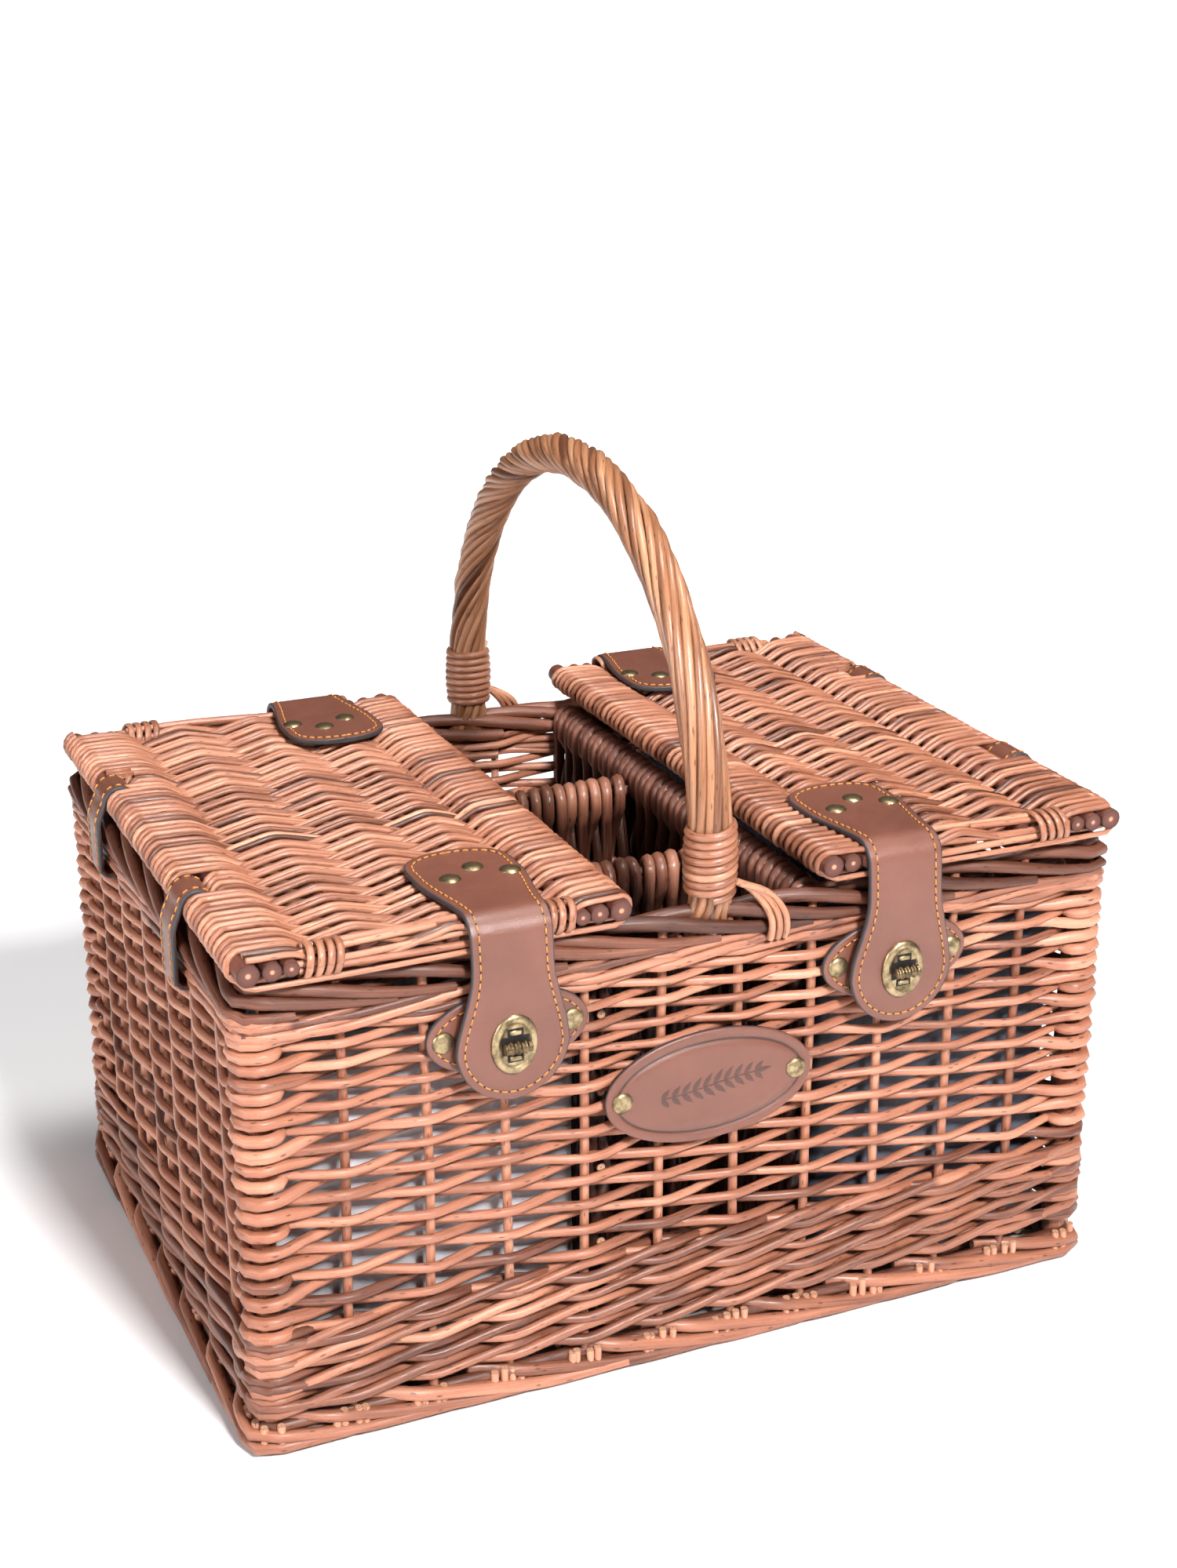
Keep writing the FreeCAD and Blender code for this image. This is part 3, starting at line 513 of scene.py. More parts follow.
def add_wale(rods, foot, rounds, strands, radius, rise, climb, darker):
    """Several rods worked together round the basket, each climbing outside all stakes but one in
    turn. Every rod starts and finishes hidden behind a stake at the back."""
    many, spare = len(COURSE.stations), rounds + 2
    lifts = np.concatenate([[0.0], np.linspace(-climb, climb, strands - 1)])
    for strand in range(strands):
        phase = (np.arange(many * spare) - strand) % strands
        out = np.where(phase == 0, -1.0, 1.0)
        out[np.tile(COURSE.posts, spare)] = 1.0
        first = 21 + strand
        last = next(k for k in range(first + many * rounds, many * spare) if out[k] < 0)
        ends = [COURSE.stations[k % many] + COURSE.total * (k // many) for k in (first, last)]
        along = np.arange(ends[0], ends[1] + 4, 4.4)
        side = (AMPLITUDE + 0.7) * smooth(COURSE.held(along, out, spare), 1)
        level = foot + rise * (along - COURSE.stations[21]) / COURSE.total
        level += smooth(COURSE.held(along, lifts[phase], spare), 2)
        tint, size = rod_changes(along, 300)
        level += wander(len(along), 0.6, 9)
        rods.add(COURSE.place(along, side + wander(len(along), 0.3, 9), level), radius * size,
                 np.maximum(tint - darker, 0.03))


def make_wales():
    foot = Rods()
    add_wale(foot, 21.5, 4, 3, 2.45, 11.4, 3.7, 0.25)
    settle(foot.build("foot_wale", WEAVE), "basket", "willow_weave")
    top = Rods()
    add_wale(top, 215.5, 2, 3, 2.2, 4.8, 1.8, 0.1)
    settle(top.build("top_wale", WEAVE), "basket", "willow_rim")


def make_stakes():
    """Upright stakes with a slight wobble, and the stout corner posts."""
    rods = Rods()
    low, high = box("wall_stakes")
    level = np.linspace(low[2] + 3, high[2] - 4, 24)
    for along, post in zip(COURSE.stations, COURSE.posts):
        if post:
            continue
        spots = np.full(len(level), along) + wander(len(level), 0.5, 6)
        path = COURSE.place(spots, wander(len(level), 0.2, 5), level)
        rods.add(path, 2.4, rod_tint() + 0.2, aside=ALONG_X)
    low, high = box("corner_posts")
    for x in (-POST_X, POST_X):
        for y in (-POST_Y, POST_Y):
            level = np.linspace(low[2], high[2], 8)
            path = np.stack([np.full(8, x), np.full(8, y), level], axis=-1)
            rods.add(path, 6.0, 0.35, aside=ALONG_X)
    settle(rods.build("stakes_and_posts", WEAVE), "basket", "willow_weave",
           "wall_stakes", "corner_posts")


def add_border(rods, pitch, length, section, radius, taper, jitter):
    """Border rods laid over each other all round. section gives (out, height) for a share of the
    rod's length; radius falls by taper at its end."""
    count = int(round(COURSE.total / pitch))
    for number in range(count):
        start = COURSE.total * number / count + RNG.uniform(-jitter, jitter)
        reach = length * RNG.uniform(0.93, 1.07)
        share = np.linspace(0, 1, int(reach / 6))
        out, height = section(share, start + share * reach)
        size = radius * RNG.uniform(0.9, 1.08) * (1 - taper * step(share, 0.55, 1.0))
        shade = np.clip(RNG.normal(0.36, 0.16), 0, 1)
        wave = wander(len(share), 0.35, 5)
        rods.add(COURSE.place(start + share * reach, out + wave, height + wave), size, shade)


def bulge(along, long_sides, ends):
    """How far the foot stands out: by one amount on the long sides, another at the ends."""
    rest = np.mod(along, COURSE.total)
    angle = np.interp(rest, COURSE.distances, COURSE.angles)
    return long_sides + (ends - long_sides) * np.cos(angle) ** 2


def make_borders():
    def rim(share, along):
        sweep = np.radians(212 - 256 * step(share, -0.1, 1.1))
        return 6.6 * np.cos(sweep), 230.6 + 8.0 * np.sin(sweep)

    top = Rods(10)
    add_border(top, 43, 185, rim, 3.55, 0.3, 6)
    settle(top.build("top_border_rods", BAND), "basket", "willow_rim", "top_border")

    def foot(share, along):
        out = bulge(along, 4.4, 7.4) * step(share, 0.0, 0.2) - 4 * (1 - step(share, 0, 0.2))
        height = 17.0 - 12.8 * step(share, -0.05, 0.7)
        return out - 5.0 * step(share, 0.93, 1.0), height

    low = Rods(10)
    add_border(low, 49, 146, foot, 3.35, 0.2, 6)
    # two rods coloured near-black run round behind, painted shade for the dark gaps in the foot border, and
    # cut stake ends show in groups between
    for out, height in ((-1.5, 8.0), (0.5, 13.5)):
        along = np.arange(0, COURSE.total + 4, 6.0)
        low.add(COURSE.place(along, out, height + wander(len(along), 0.5, 6)), 3.2, 0.03)
    for along in COURSE.stations:
        for shift in (-9.5, -4.5, 1.0, 5.5):
            reach = along + shift + RNG.uniform(-1.5, 1.5)
            level = np.array([7.0, 12.0, RNG.uniform(15.5, 18.0)])
            low.add(COURSE.place(np.full(3, reach), np.full(3, 4.0), level), 2.0, 0.9, aside=ALONG_X)
    settle(low.build("foot_border_rods", WEAVE), "basket", "willow_weave", "foot_border")


# ---------------------------------------------------------------- flat weaves: base and screens
def make_base():
    """A woven floor: rods along X over and under nine cross sticks."""
    low, high = box("base_panel")
    middle = (low[2] + high[2]) / 2
    rods = Rods(6)
    sticks = np.linspace(low[0] + 12, high[0] - 12, 10)
    for x in sticks:
        path = [(x, y, middle) for y in np.linspace(low[1] + 2, high[1] - 2, 12)]
        rods.add(path, 2.2, rod_tint(), aside=UP)
    for number, y in enumerate(np.arange(low[1] + 4, high[1] - 2, 5.6)):
        knots = np.concatenate([[low[0] + 1], sticks, [high[0] - 1]])
        signs = np.where((np.arange(len(knots)) + number) % 2 == 0, 1.0, -1.0)
        x = np.arange(knots[0], knots[-1], 6.0)
        z = middle + 2.2 * smooth(np.interp(x, knots, signs), 1)
        path = np.stack([x, np.full(len(x), y) + wander(len(x), 0.4, 8), z], axis=-1)
        rods.add(path, 2.3, rod_tint(), aside=UP)
    settle(rods.build("base_weave", BAND), "basket", "willow_weave", "base_panel")


def add_screen(rods, along, across, centre, low, high, foot, top):
    """Thick rods hung close together over a top stick and woven down between cross sticks. Below the stick
    their colour darkens as painted shade, fully within 14 mm; where they bend over it they keep their own
    tone."""
    crossings = top - 7.0 - np.arange(5) * 41.0
    for height in crossings:
        path = [centre * across + (low + (high - low) * share) * along + height * UP
                for share in np.linspace(0, 1, 10)]
        rods.add(path, 3.2 if height == crossings[0] else 2.4, 0.3, aside=UP)
    pitch = 7.1
    for number, place in enumerate(np.arange(low + 4.5, high - 3, pitch)):
        radius, flip = RNG.uniform(3.0, 3.45), 1 if number % 2 == 0 else -1
        over = 3.0 + radius
        line = []
        for leg in (1, -1):
            knots = crossings[::-1]
            bows = np.array([leg * flip * sign for sign in (1, -1, 1, -1, 1)], float)
            bows[-1], bows[0] = leg, bows[0] * 0.6
            heights = np.arange(foot + 3, crossings[0], 8.0)
            side = smooth(np.interp(heights, knots, bows), 1) * over * 0.86
            side[heights > crossings[0] - 12] = leg * over
            leg_points = [(out, place + leg * 1.3, height) for out, height in zip(side, heights)]
            line.append(leg_points)
        arch = [(over * math.cos(turn), place + 1.3 * math.cos(turn),
                 crossings[0] + over * math.sin(turn)) for turn in np.linspace(0, math.pi, 8)]
        sway = wander(len(arch) + 2 * len(line[0]), 0.6, 7)
        points = np.array([(centre + out) * across + (spot + shift) * along + height * UP
                           for (out, spot, height), shift in zip(line[0] + arch + line[1][::-1], sway)])
        # painted shade: the tint falls to nothing within 14 mm below the top stick
        painted_shade_below_stick = step(crossings[0] - points[:, 2], 0, 14)
        rods.add(points, radius, (0.25 + 0.6 * rod_tint()) * (1 - painted_shade_below_stick), aside=along)


def make_screens():
    for name in ("left_partition", "right_partition"):
        low, high = box(name)
        rods = Rods()
        add_screen(rods, ALONG_Y, ALONG_X, (low[0] + high[0]) / 2, low[1], high[1], low[2], high[2])
        settle(rods.build(name + "_weave", INSIDE_SHADE), "basket", "willow_weave", name)
    for name in ("front_bottle_divider", "rear_bottle_divider"):
        low, high = box(name)
        rods = Rods()
        add_screen(rods, ALONG_X, ALONG_Y, (low[1] + high[1]) / 2, low[0], high[0], low[2], high[2])
        nodes = (name, "partition_rods") if name.startswith("front") else (name,)
        settle(rods.build(name + "_weave", WRAP), "basket", "willow_weave", *nodes)


# ---------------------------------------------------------------- liners
def make_liner(node, material, slot):
    """One thin sheet folded up into an open bag, a little slack between its corners."""
    low, high = box(node)
    low, high = low + (3.2, 3.2, 1.5), high - (3.2, 3.2, 0)
    corner, per = 9.0, 26
    half = (high[:2] - low[:2]) / 2
    middle = (high[:2] + low[:2]) / 2
    loop = []
    for sx, sy, start in ((1, -1, -90), (1, 1, 0), (-1, 1, 90), (-1, -1, 180)):
        centre = half * (sx, sy) - corner * np.array([sx, sy])
        for angle in np.radians(start + np.linspace(0, 90, 6)):
            loop.append(centre + corner * np.array([math.cos(angle), math.sin(angle)]))
    loop = np.array(loop)
    dense = []
    for here, following in zip(loop, np.roll(loop, -1, axis=0)):
        steps = max(1, int(np.linalg.norm(following - here) / 8))
        dense += [here + (following - here) * k / steps for k in range(steps)]
    loop = np.array(dense)
    count = len(loop)
    shrink = [0.0, 0.35, 0.7, 0.93, 1.0]
    rings = [np.column_stack([middle + loop * share, np.full(count, low[2])]) for share in shrink[1:]]
    for height in np.linspace(low[2] + 5, high[2], per):
        share = (height - low[2]) / (high[2] - low[2])
        ripple = 1 - 0.012 * math.sin(math.pi * share) * (1 + np.sin(np.arange(count) * 0.55)) / 2
        rings.append(np.column_stack([middle + loop * ripple[:, None], np.full(count, height)]))
    co = np.concatenate(rings + [np.array([[*middle, low[2]]])])
    row = np.arange(len(rings) - 1)[:, None] * count
    here, following = np.arange(count), (np.arange(count) + 1) % count
    quads = np.stack([row + here, row + following, row + count + following, row + count + here], -1)
    hub = len(co) - 1
    tris = np.stack([following, here, np.full(count, hub)], axis=-1)
    piece = make_piece(node + "_cloth", co, quads.reshape(-1, 4), tris, [material])
    skin = piece.modifiers.new("cloth", "SOLIDIFY")
    skin.thickness = 0.0009
    settle(piece, "basket", slot, node)


# ---------------------------------------------------------------- handle
HOOP_X = np.mean([c[0] for c in box("handle_roping")])
HOOP_RADIUS = box("handle_roping")[1][1] - 10.5
HOOP_CENTRE = box("handle_roping")[1][2] - 10.5 - HOOP_RADIUS


def make_handle():
    """Rods laid round a core and twisted: hardly at the front foot, most over the top."""
    low_end = 226.0
    leg = HOOP_CENTRE - low_end
    total = 2 * leg + math.pi * HOOP_RADIUS
    run = np.arange(0, total, 4.0)
    bend = np.clip((run - leg) / HOOP_RADIUS, 0, math.pi)
    rise = np.where(run < leg, low_end + run, HOOP_CENTRE + HOOP_RADIUS * np.sin(bend))
    rise = np.where(run > total - leg, low_end + total - run, rise)
    side = -HOOP_RADIUS * np.cos(bend)
    centre = np.stack([np.full(len(run), HOOP_X), side, rise], axis=-1)
    outward = np.stack([np.zeros(len(run)), -np.cos(bend), np.sin(bend)], axis=-1)
    rate = np.interp(bend, np.radians([0, 30, 60, 90, 125, 160, 180]),
                     [0.008, 0.020, 0.036, 0.064, 0.064, 0.046, 0.024])
    twist = -np.cumsum(rate) * 4.0
    foot = (1 - step(np.minimum(run, total - run), 4, 22))[:, None]
    rods, count = Rods(), 12
    rods.add(centre, 6.4, 0.05, aside=outward)
    for number in range(count):
        angle = 2 * math.pi * number / count + twist + wander(len(run), 0.05, 9)
        reach = 7.9 + RNG.uniform(-0.35, 0.35) + wander(len(run), 0.2, 7)
        radial = np.cos(angle)[:, None] * ALONG_X * (1 + 0.35 * foot)
        radial = radial + np.sin(angle)[:, None] * outward * (1 - 0.7 * foot)
        tint, size = rod_changes(run, 400)
        rods.add(centre + reach[:, None] * radial, RNG.uniform(2.0, 2.35) * size, tint,
                 aside=unit(radial))
    settle(rods.build("handle_rods", HANDLE), "basket", "willow_handle",
           "handle_roping", "handle_core")


def make_binding(name, end):
    """Thin rod wound round the handle's foot, and a tail of three rods over the rim."""
    low, high = box(name + "_handle_binding")
    middle = (low + high) / 2
    rods, turns = Rods(), 8.3
    angle = np.linspace(0, turns * 2 * math.pi, int(turns * 26))
    share = angle / angle[-1]
    reach = 10.6 + 0.7 * np.sin(share * math.pi) ** 2
    level = high[2] - 3 - share * (high[2] - low[2] - 5) + 1.1 * np.cos(angle + 0.6)
    path = np.stack([middle[0] + reach * np.cos(angle * end), middle[1] + reach * np.sin(angle * end),
                     level], axis=-1)
    rods.add(path, 2.1, 0.5 + wander(len(path), 0.15, 20), aside=UP)
    rim_y = abs(box("top_border")[0][1])
    for number in range(3):
        shift = number * 3.9
        tail = [(middle[0] + 9 + shift * 0.3, end * (abs(middle[1]) + 9), low[2] + 9 - shift * 0.2),
                (middle[0] + 15 + shift * 0.5, end * (abs(middle[1]) + 9), low[2] + 6 - shift * 0.2),
                (middle[0] + 22 + shift * 0.9, end * (rim_y - 1), low[2] - 1),
                (middle[0] + 27 + shift, end * (rim_y + 4.6), low[2] - 9),
                (middle[0] + 28 + shift, end * (rim_y + 5.4), low[2] - 17),
                (middle[0] + 28.5 + shift, end * (rim_y + 2), low[2] - 24)]
        dense = np.array([np.interp(np.linspace(0, 5, 24), np.arange(6), column)
                          for column in zip(*tail)]).T
        rods.add(smooth(dense, 6), 1.8, RNG.uniform(0.45, 0.8), aside=ALONG_X)
    settle(rods.build(name + "_binding", SKEIN), "basket", "willow_skein", name + "_handle_binding")


# ---------------------------------------------------------------- lids
class Lid:
    """Places on a lid: u runs from its hinge edge inwards, y along it, z up from its middle."""

    def __init__(self, name):
        low, high = box(name + "_lid_weave")
        self.name, self.hand = name, -1 if name == "left" else 1
        self.outer = max(abs(low[0]), abs(high[0]))
        self.width = high[0] - low[0]
        self.half = high[1]
        self.middle = (low[2] + high[2]) / 2
        self.stick = 6.5
        self.notch = 75.0

    def place(self, u, y, z):
        u, y, z = np.broadcast_arrays(*map(np.asarray, (u, y, z)))
        return np.stack([self.hand * (self.outer - u), y, self.middle + z], axis=-1)


def lid_row(lid, ribs, over, notched):
    """A row's crossings from the hinge edge to the inner edge: (u, height). It passes on one side of
    the sticks at both edges and in turn on the other side of and over the ribs between."""
    if notched:
        crossings = [(20.6, 6.0), (29.5, 5.6), (39.5, -0.5)]
    else:
        crossings = [(lid.stick, 6.4), (22.5, 6.2), (29.5, 5.5), (39.5, -0.5)]
    crossings += [(u, -5.4 if number % 2 == 0 else 5.4) for number, u in enumerate(ribs)]
    crossings += [(lid.width - 34.0, -0.5), (lid.width - 25.6, 5.5), (lid.width - 18.0, 6.2),
                  (lid.width - lid.stick, 6.4)]
    return np.array(crossings) * (1, over)


def make_lid_weave(lid, ribs):
    """Pairs of thin rods run to and fro across the ribs and turn round the edge sticks."""
    rods, pitch = Rods(), 6.05
    rows = np.arange(-lid.half + 6.5, lid.half - 6, pitch)
    far = lid.width - lid.stick
    for which in (-1, 1):
        us, ys, zs = [], [], []
        for number, row in enumerate(rows):
            over = 1 if number % 2 == 0 else -1
            notched = abs(abs(row) - lid.notch) < 13.5
            knots = lid_row(lid, ribs, over, notched)
            u = np.arange(knots[0, 0], far + 0.1, 3.1)
            z = smooth(np.interp(u, knots[:, 0], knots[:, 1]), 1)
            spread = 1.85 + 1.10 * (1 - step(u, 12, 42)) + 1.15 * step(u, far - 34, far - 8)
            y = row + RNG.uniform(-0.45, 0.45) + which * spread + wander(len(u), 0.35, 7)
            # half a turn round the edge stick leads to the next row
            half_turn = np.radians(np.linspace(78, -78, 7)) * over
            if over > 0:
                turn_u, turn_z = far + 6.4 * np.cos(half_turn), 6.4 * np.sin(half_turn)
            else:
                u, y, z = u[::-1], y[::-1], z[::-1]
                turn_u = knots[0, 0] - (5.8 if notched else 6.4) * np.cos(half_turn)
                turn_z = 6.2 * np.sin(half_turn)
            us += [u, turn_u]
            ys += [y, np.linspace(y[-1], y[-1] + pitch, 9)[1:-1]]
            zs += [z, turn_z]
        us, ys, zs = map(np.concatenate, (us, ys, zs))
        tint, size = rod_changes(np.arange(len(us)) * 3.1, 230)
        rods.add(lid.place(us, ys, zs), 1.56 * size, tint, aside=ALONG_Y)
    piece = rods.build(lid.name + "_lid_rods", LID)
    settle(piece, lid.name + "_lid", "willow_weave", lid.name + "_lid_weave")


def make_lid_sticks(lid, ribs):
    """The stout sticks at both edges, the two thinner ones beside each, and the ribs."""
    rods = Rods(14)
    y = np.linspace(-lid.half, lid.half, 40)
    pinch = step(np.abs(y), 95, 150)
    gaps = lid.width
    for u_ends, u_middle, radius in (
            (lid.stick, lid.stick, 5.3), (17.3, 21.2, 4.5), (26.0, 29.3, 3.8),
            (gaps - lid.stick, gaps - lid.stick, 5.3), (gaps - 17.2, gaps - 18.0, 4.5),
            (gaps - 26.0, gaps - 25.6, 3.8)):
        u = u_middle + (u_ends - u_middle) * pinch
        reach = y * (1 - RNG.uniform(0.004, 0.012))
        rods.add(lid.place(u, reach, 0.0), radius, RNG.uniform(0.35, 0.6), aside=UP)
    for u in ribs:
        rods.add(lid.place(u, y * 0.965, 0.0), 3.4, 0.4, aside=UP)
    settle(rods.build(lid.name + "_lid_sticks", STICK), lid.name + "_lid", "willow_stick",
           lid.name + "_lid_hinge_stick", lid.name + "_lid_inner_stick", lid.name + "_lid_ribs")


def make_lid_edges(lid):
    """Long rods along the front and back edges, and the skeins that bind them near each corner."""
    rods, skeins = Rods(), Rods()
    gaps = lid.width
    for end in (-1, 1):
        # a long thin rod lies under the edge and turns up round both corners
        u = np.linspace(1.0, gaps - 1.0, 44)
        corner = step(np.abs(u - gaps / 2), gaps / 2 - 9, gaps / 2 - 1)
        y = end * (lid.half - 2.0 + 0.8 * np.sin(u / 31) - 7 * corner ** 2)
        rods.add(lid.place(u, y, -6.9 + 5.0 * corner ** 2), 1.4, 0.6, aside=UP)
        for start, finish, y, z, fan in ((25, 0.97, 5.0, 0.5, 2.5), (27, 0.62, 7.6, 4.2, 4.0),
                                         (30, 0.96, 4.2, -3.6, -0.6), (33, 0.80, 10.5, 5.2, 5.0)):
            u = np.linspace(start, gaps * finish - 22, 36)
            splay = fan * step(u, 50, gaps * finish)
            path = lid.place(u, end * (lid.half - y - splay + 0.5 * np.sin(u / 17 + y)),
                             z + 0.6 * np.sin(u / 23 + fan))
            rods.add(path, RNG.uniform(1.6, 2.1), RNG.uniform(0.45, 0.85), aside=UP)
        for start in (34, gaps - 46):
            for number in range(4):
                angle = np.radians(np.arange(0, 361, 15))
                lean = 1.6 * np.sin(angle) + RNG.uniform(-0.4, 0.4)
                y = end * (lid.half - 7.5 + 8.6 * np.cos(angle))
                z = 0.2 + 7.6 * np.sin(angle) * (1 + 0.12 * np.cos(angle) ** 2)
                path = lid.place(start + number * 4.6 + lean, y, z)
                skeins.add(path, 1.8, RNG.uniform(0.3, 0.7), aside=ALONG_X, flat=0.45)
    settle(rods.build(lid.name + "_lid_edge_rods", LID), lid.name + "_lid", "willow_weave")
    settle(skeins.build(lid.name + "_lid_bindings", SKEIN), lid.name + "_lid", "willow_skein")


# ---------------------------------------------------------------- leather and metal
class Plates:
    """Collects leather and metal parts in one mesh with several materials."""

    def __init__(self):
        self.co, self.quads, self.tris, self.quad_skins, self.tri_skins = [], [], [], [], []
        self.count = 0

    def grid(self, rings, skins, closed=True):
        """Join rings of points; skins gives each band of faces its material, or each column's."""
        rings = np.asarray(rings, float)
        rows, count = rings.shape[:2]
        here = np.arange(count if closed else count - 1)
        following = (here + 1) % count
        row = np.arange(rows - 1)[:, None] * count + self.count
        faces = np.stack([row + here, row + following, row + count + following, row + count + here], -1)
        self.quads.append(faces.reshape(-1, 4))
        self.quad_skins.append(np.broadcast_to(skins, (rows - 1, len(here))).ravel())
        self.co.append(rings.reshape(-1, 3))
        self.count += rows * count

    def fan(self, ring, hub, skin, flip=False):
        ring = np.asarray(ring, float)
        count = len(ring)
        here = np.arange(count) + self.count
        following = (np.arange(count) + 1) % count + self.count
        face = np.stack([here, following, np.full(count, self.count + count)], axis=-1)
        self.tris.append(face[:, ::-1] if flip else face)
        self.tri_skins.append(np.full(count, skin))
        self.co.append(np.concatenate([ring, np.asarray(hub, float)[None]]))
        self.count += count + 1

    def turned(self, frame_, profile, skins, length, breadth, steps=40):
        """A round or oval form: profile lists (inset from the oval's edge, height)."""
        angle = np.linspace(0, 2 * math.pi, steps, endpoint=False)
        rings = []
        for inset, height in profile:
            a, b = max(length / 2 - inset, 0.01), max(breadth / 2 - inset, 0.01)
            rings.append(frame_(a * np.cos(angle), b * np.sin(angle), np.full(steps, float(height))))
        self.grid(rings, np.array(skins)[:, None])
        self.fan(rings[-1], rings[-1].mean(axis=0), skins[-1])

    def stitch(self, points, normals, tangents, skin, hole, length=3.0, radius=0.42):
        """A short raised thread at each point, with a small dark hole at each of its ends."""
        for point, normal, tangent in zip(points, normals, tangents):
            across = np.cross(normal, tangent)
            angle = np.radians(np.arange(0, 360, 60))
            rings = []
            for along, thick, high in ((-1.0, 0.35, -0.2), (-0.7, 0.95, 0.22), (0.7, 0.95, 0.22),
                                       (1.0, 0.35, -0.2)):
                centre = point + tangent * along * length / 2 + normal * high
                rings.append(centre + radius * thick * (np.cos(angle)[:, None] * across
                                                        + np.sin(angle)[:, None] * normal))
            self.grid(rings, skin)
            centre = point + tangent * length * 0.68 + normal * 0.06
            spread = np.cos(angle)[:, None] * tangent + np.sin(angle)[:, None] * across
            self.fan(centre + 0.5 * spread, centre, hole)

    def build(self, name, materials):
        tris = np.concatenate(self.tris) if self.tris else np.zeros((0, 3), int)
        tri_skins = np.concatenate(self.tri_skins) if self.tri_skins else np.zeros(0, int)
        skins = np.concatenate([np.concatenate(self.quad_skins), tri_skins])
        return make_piece(name, np.concatenate(self.co), np.concatenate(self.quads), tris,
                          materials, skins)


LEATHER_SKINS = [LEATHER, EDGE, THREAD, HOLE_AND_SHADOW]


def facing(end, x, face_y, z):
    """A frame on the front (-1) or rear (1) wall: a to the right, b up, height outwards."""
    def at(a, b, height):
        return np.stack([x - end * a, end * (face_y + height), z + b], axis=-1)
    return at


def lying(x, y, z):
    """A frame on a lid: a along X, b along Y, height up."""
    def at(a, b, height):
        return np.stack([x + a, y + b, z + height], axis=-1)
    return at


def oval_line(length, breadth, inset, pitch):
    """Evenly spaced points and directions along an oval."""
    angle = np.linspace(0, 2 * math.pi, 400)
    line = np.stack([(length / 2 - inset) * np.cos(angle), (breadth / 2 - inset) * np.sin(angle)], -1)
    run = np.concatenate([[0], np.cumsum(np.linalg.norm(np.diff(line, axis=0), axis=1))])
    count = int(run[-1] / pitch)
    places = np.arange(count) * run[-1] / count
    points = np.stack([np.interp(places, run, line[:, k]) for k in (0, 1)], axis=-1)
    ahead = np.stack([np.interp(places + 0.5, run, line[:, k]) for k in (0, 1)], axis=-1)
    return points, unit(ahead - points)


def flat_stitches(plates, at, points, directions, height, skins=(2, 3)):
    zero = np.zeros(len(points))
    base = at(points[:, 0], points[:, 1], zero + height)
    tip = at(points[:, 0] + directions[:, 0], points[:, 1] + directions[:, 1], zero + height)
    above = at(points[:, 0], points[:, 1], zero + height + 1)
    plates.stitch(base, above - base, tip - base, *skins)


def leather_profile(thick):
    """A cut leather edge, painted dark, with a softly rounded top."""
    profile = [(0.4, 0.0), (0.0, 0.4), (0.0, thick - 0.7), (0.35, thick - 0.2), (1.0, thick),
               (3.2, thick + 0.02), (4.6, thick), (9.0, thick)]
    return profile, [1, 1, 1, 0, 0, 0, 0]


STUD_RADIUS, STUD_RISE = 5.4, 2.1


def add_stud(plates, at):
    """A domed cap with a low rim."""
    profile = [(0.0, -0.4), (0.0, 0.25), (0.25, 0.62)]
    profile += [(STUD_RADIUS * (1 - math.cos(a)), STUD_RISE * math.sin(a) ** 0.9)
                for a in np.radians(np.arange(24, 91, 11))]
    skins = [0] * (len(profile) - 1)
    plates.turned(at, profile, skins, 2 * STUD_RADIUS, 2 * STUD_RADIUS, 24)


def make_catch(end, across, along):
    """The oval leather on the wall behind a strap, with its stitches; it returns where the studs go."""
    node = f"{across}_{along}_catch_leather"
    low, high = box(node)
    middle, size = (low + high) / 2, high - low
    face = min(abs(low[1]), abs(high[1]))
    at = facing(end, middle[0], face, middle[2])
    plates = Plates()
    profile, skins = leather_profile(size[1])
    plates.turned(at, profile, skins, size[0], size[2], 56)
    points, directions = oval_line(size[0], size[2], 4.0, 4.3)
    flat_stitches(plates, at, points, directions, size[1] + 0.1)
    piece = plates.build(f"{across}_{along}_catch", LEATHER_SKINS)
    settle(piece, "basket", "leather", node)
    return middle, face + size[1], size


def make_catches():
    studs = Plates()
    for end, across in ((-1, "front"), (1, "rear")):
        for along in ("left", "right"):
            middle, face, size = make_catch(end, across, along)
            for hand in (-1, 1):
                at = facing(end, middle[0] + hand * (size[0] / 2 - 8), face, middle[2])
                add_stud(studs, at)
    settle(studs.build("catch_stud_caps", [BRASS]), "basket", "antique_brass", "catch_studs")


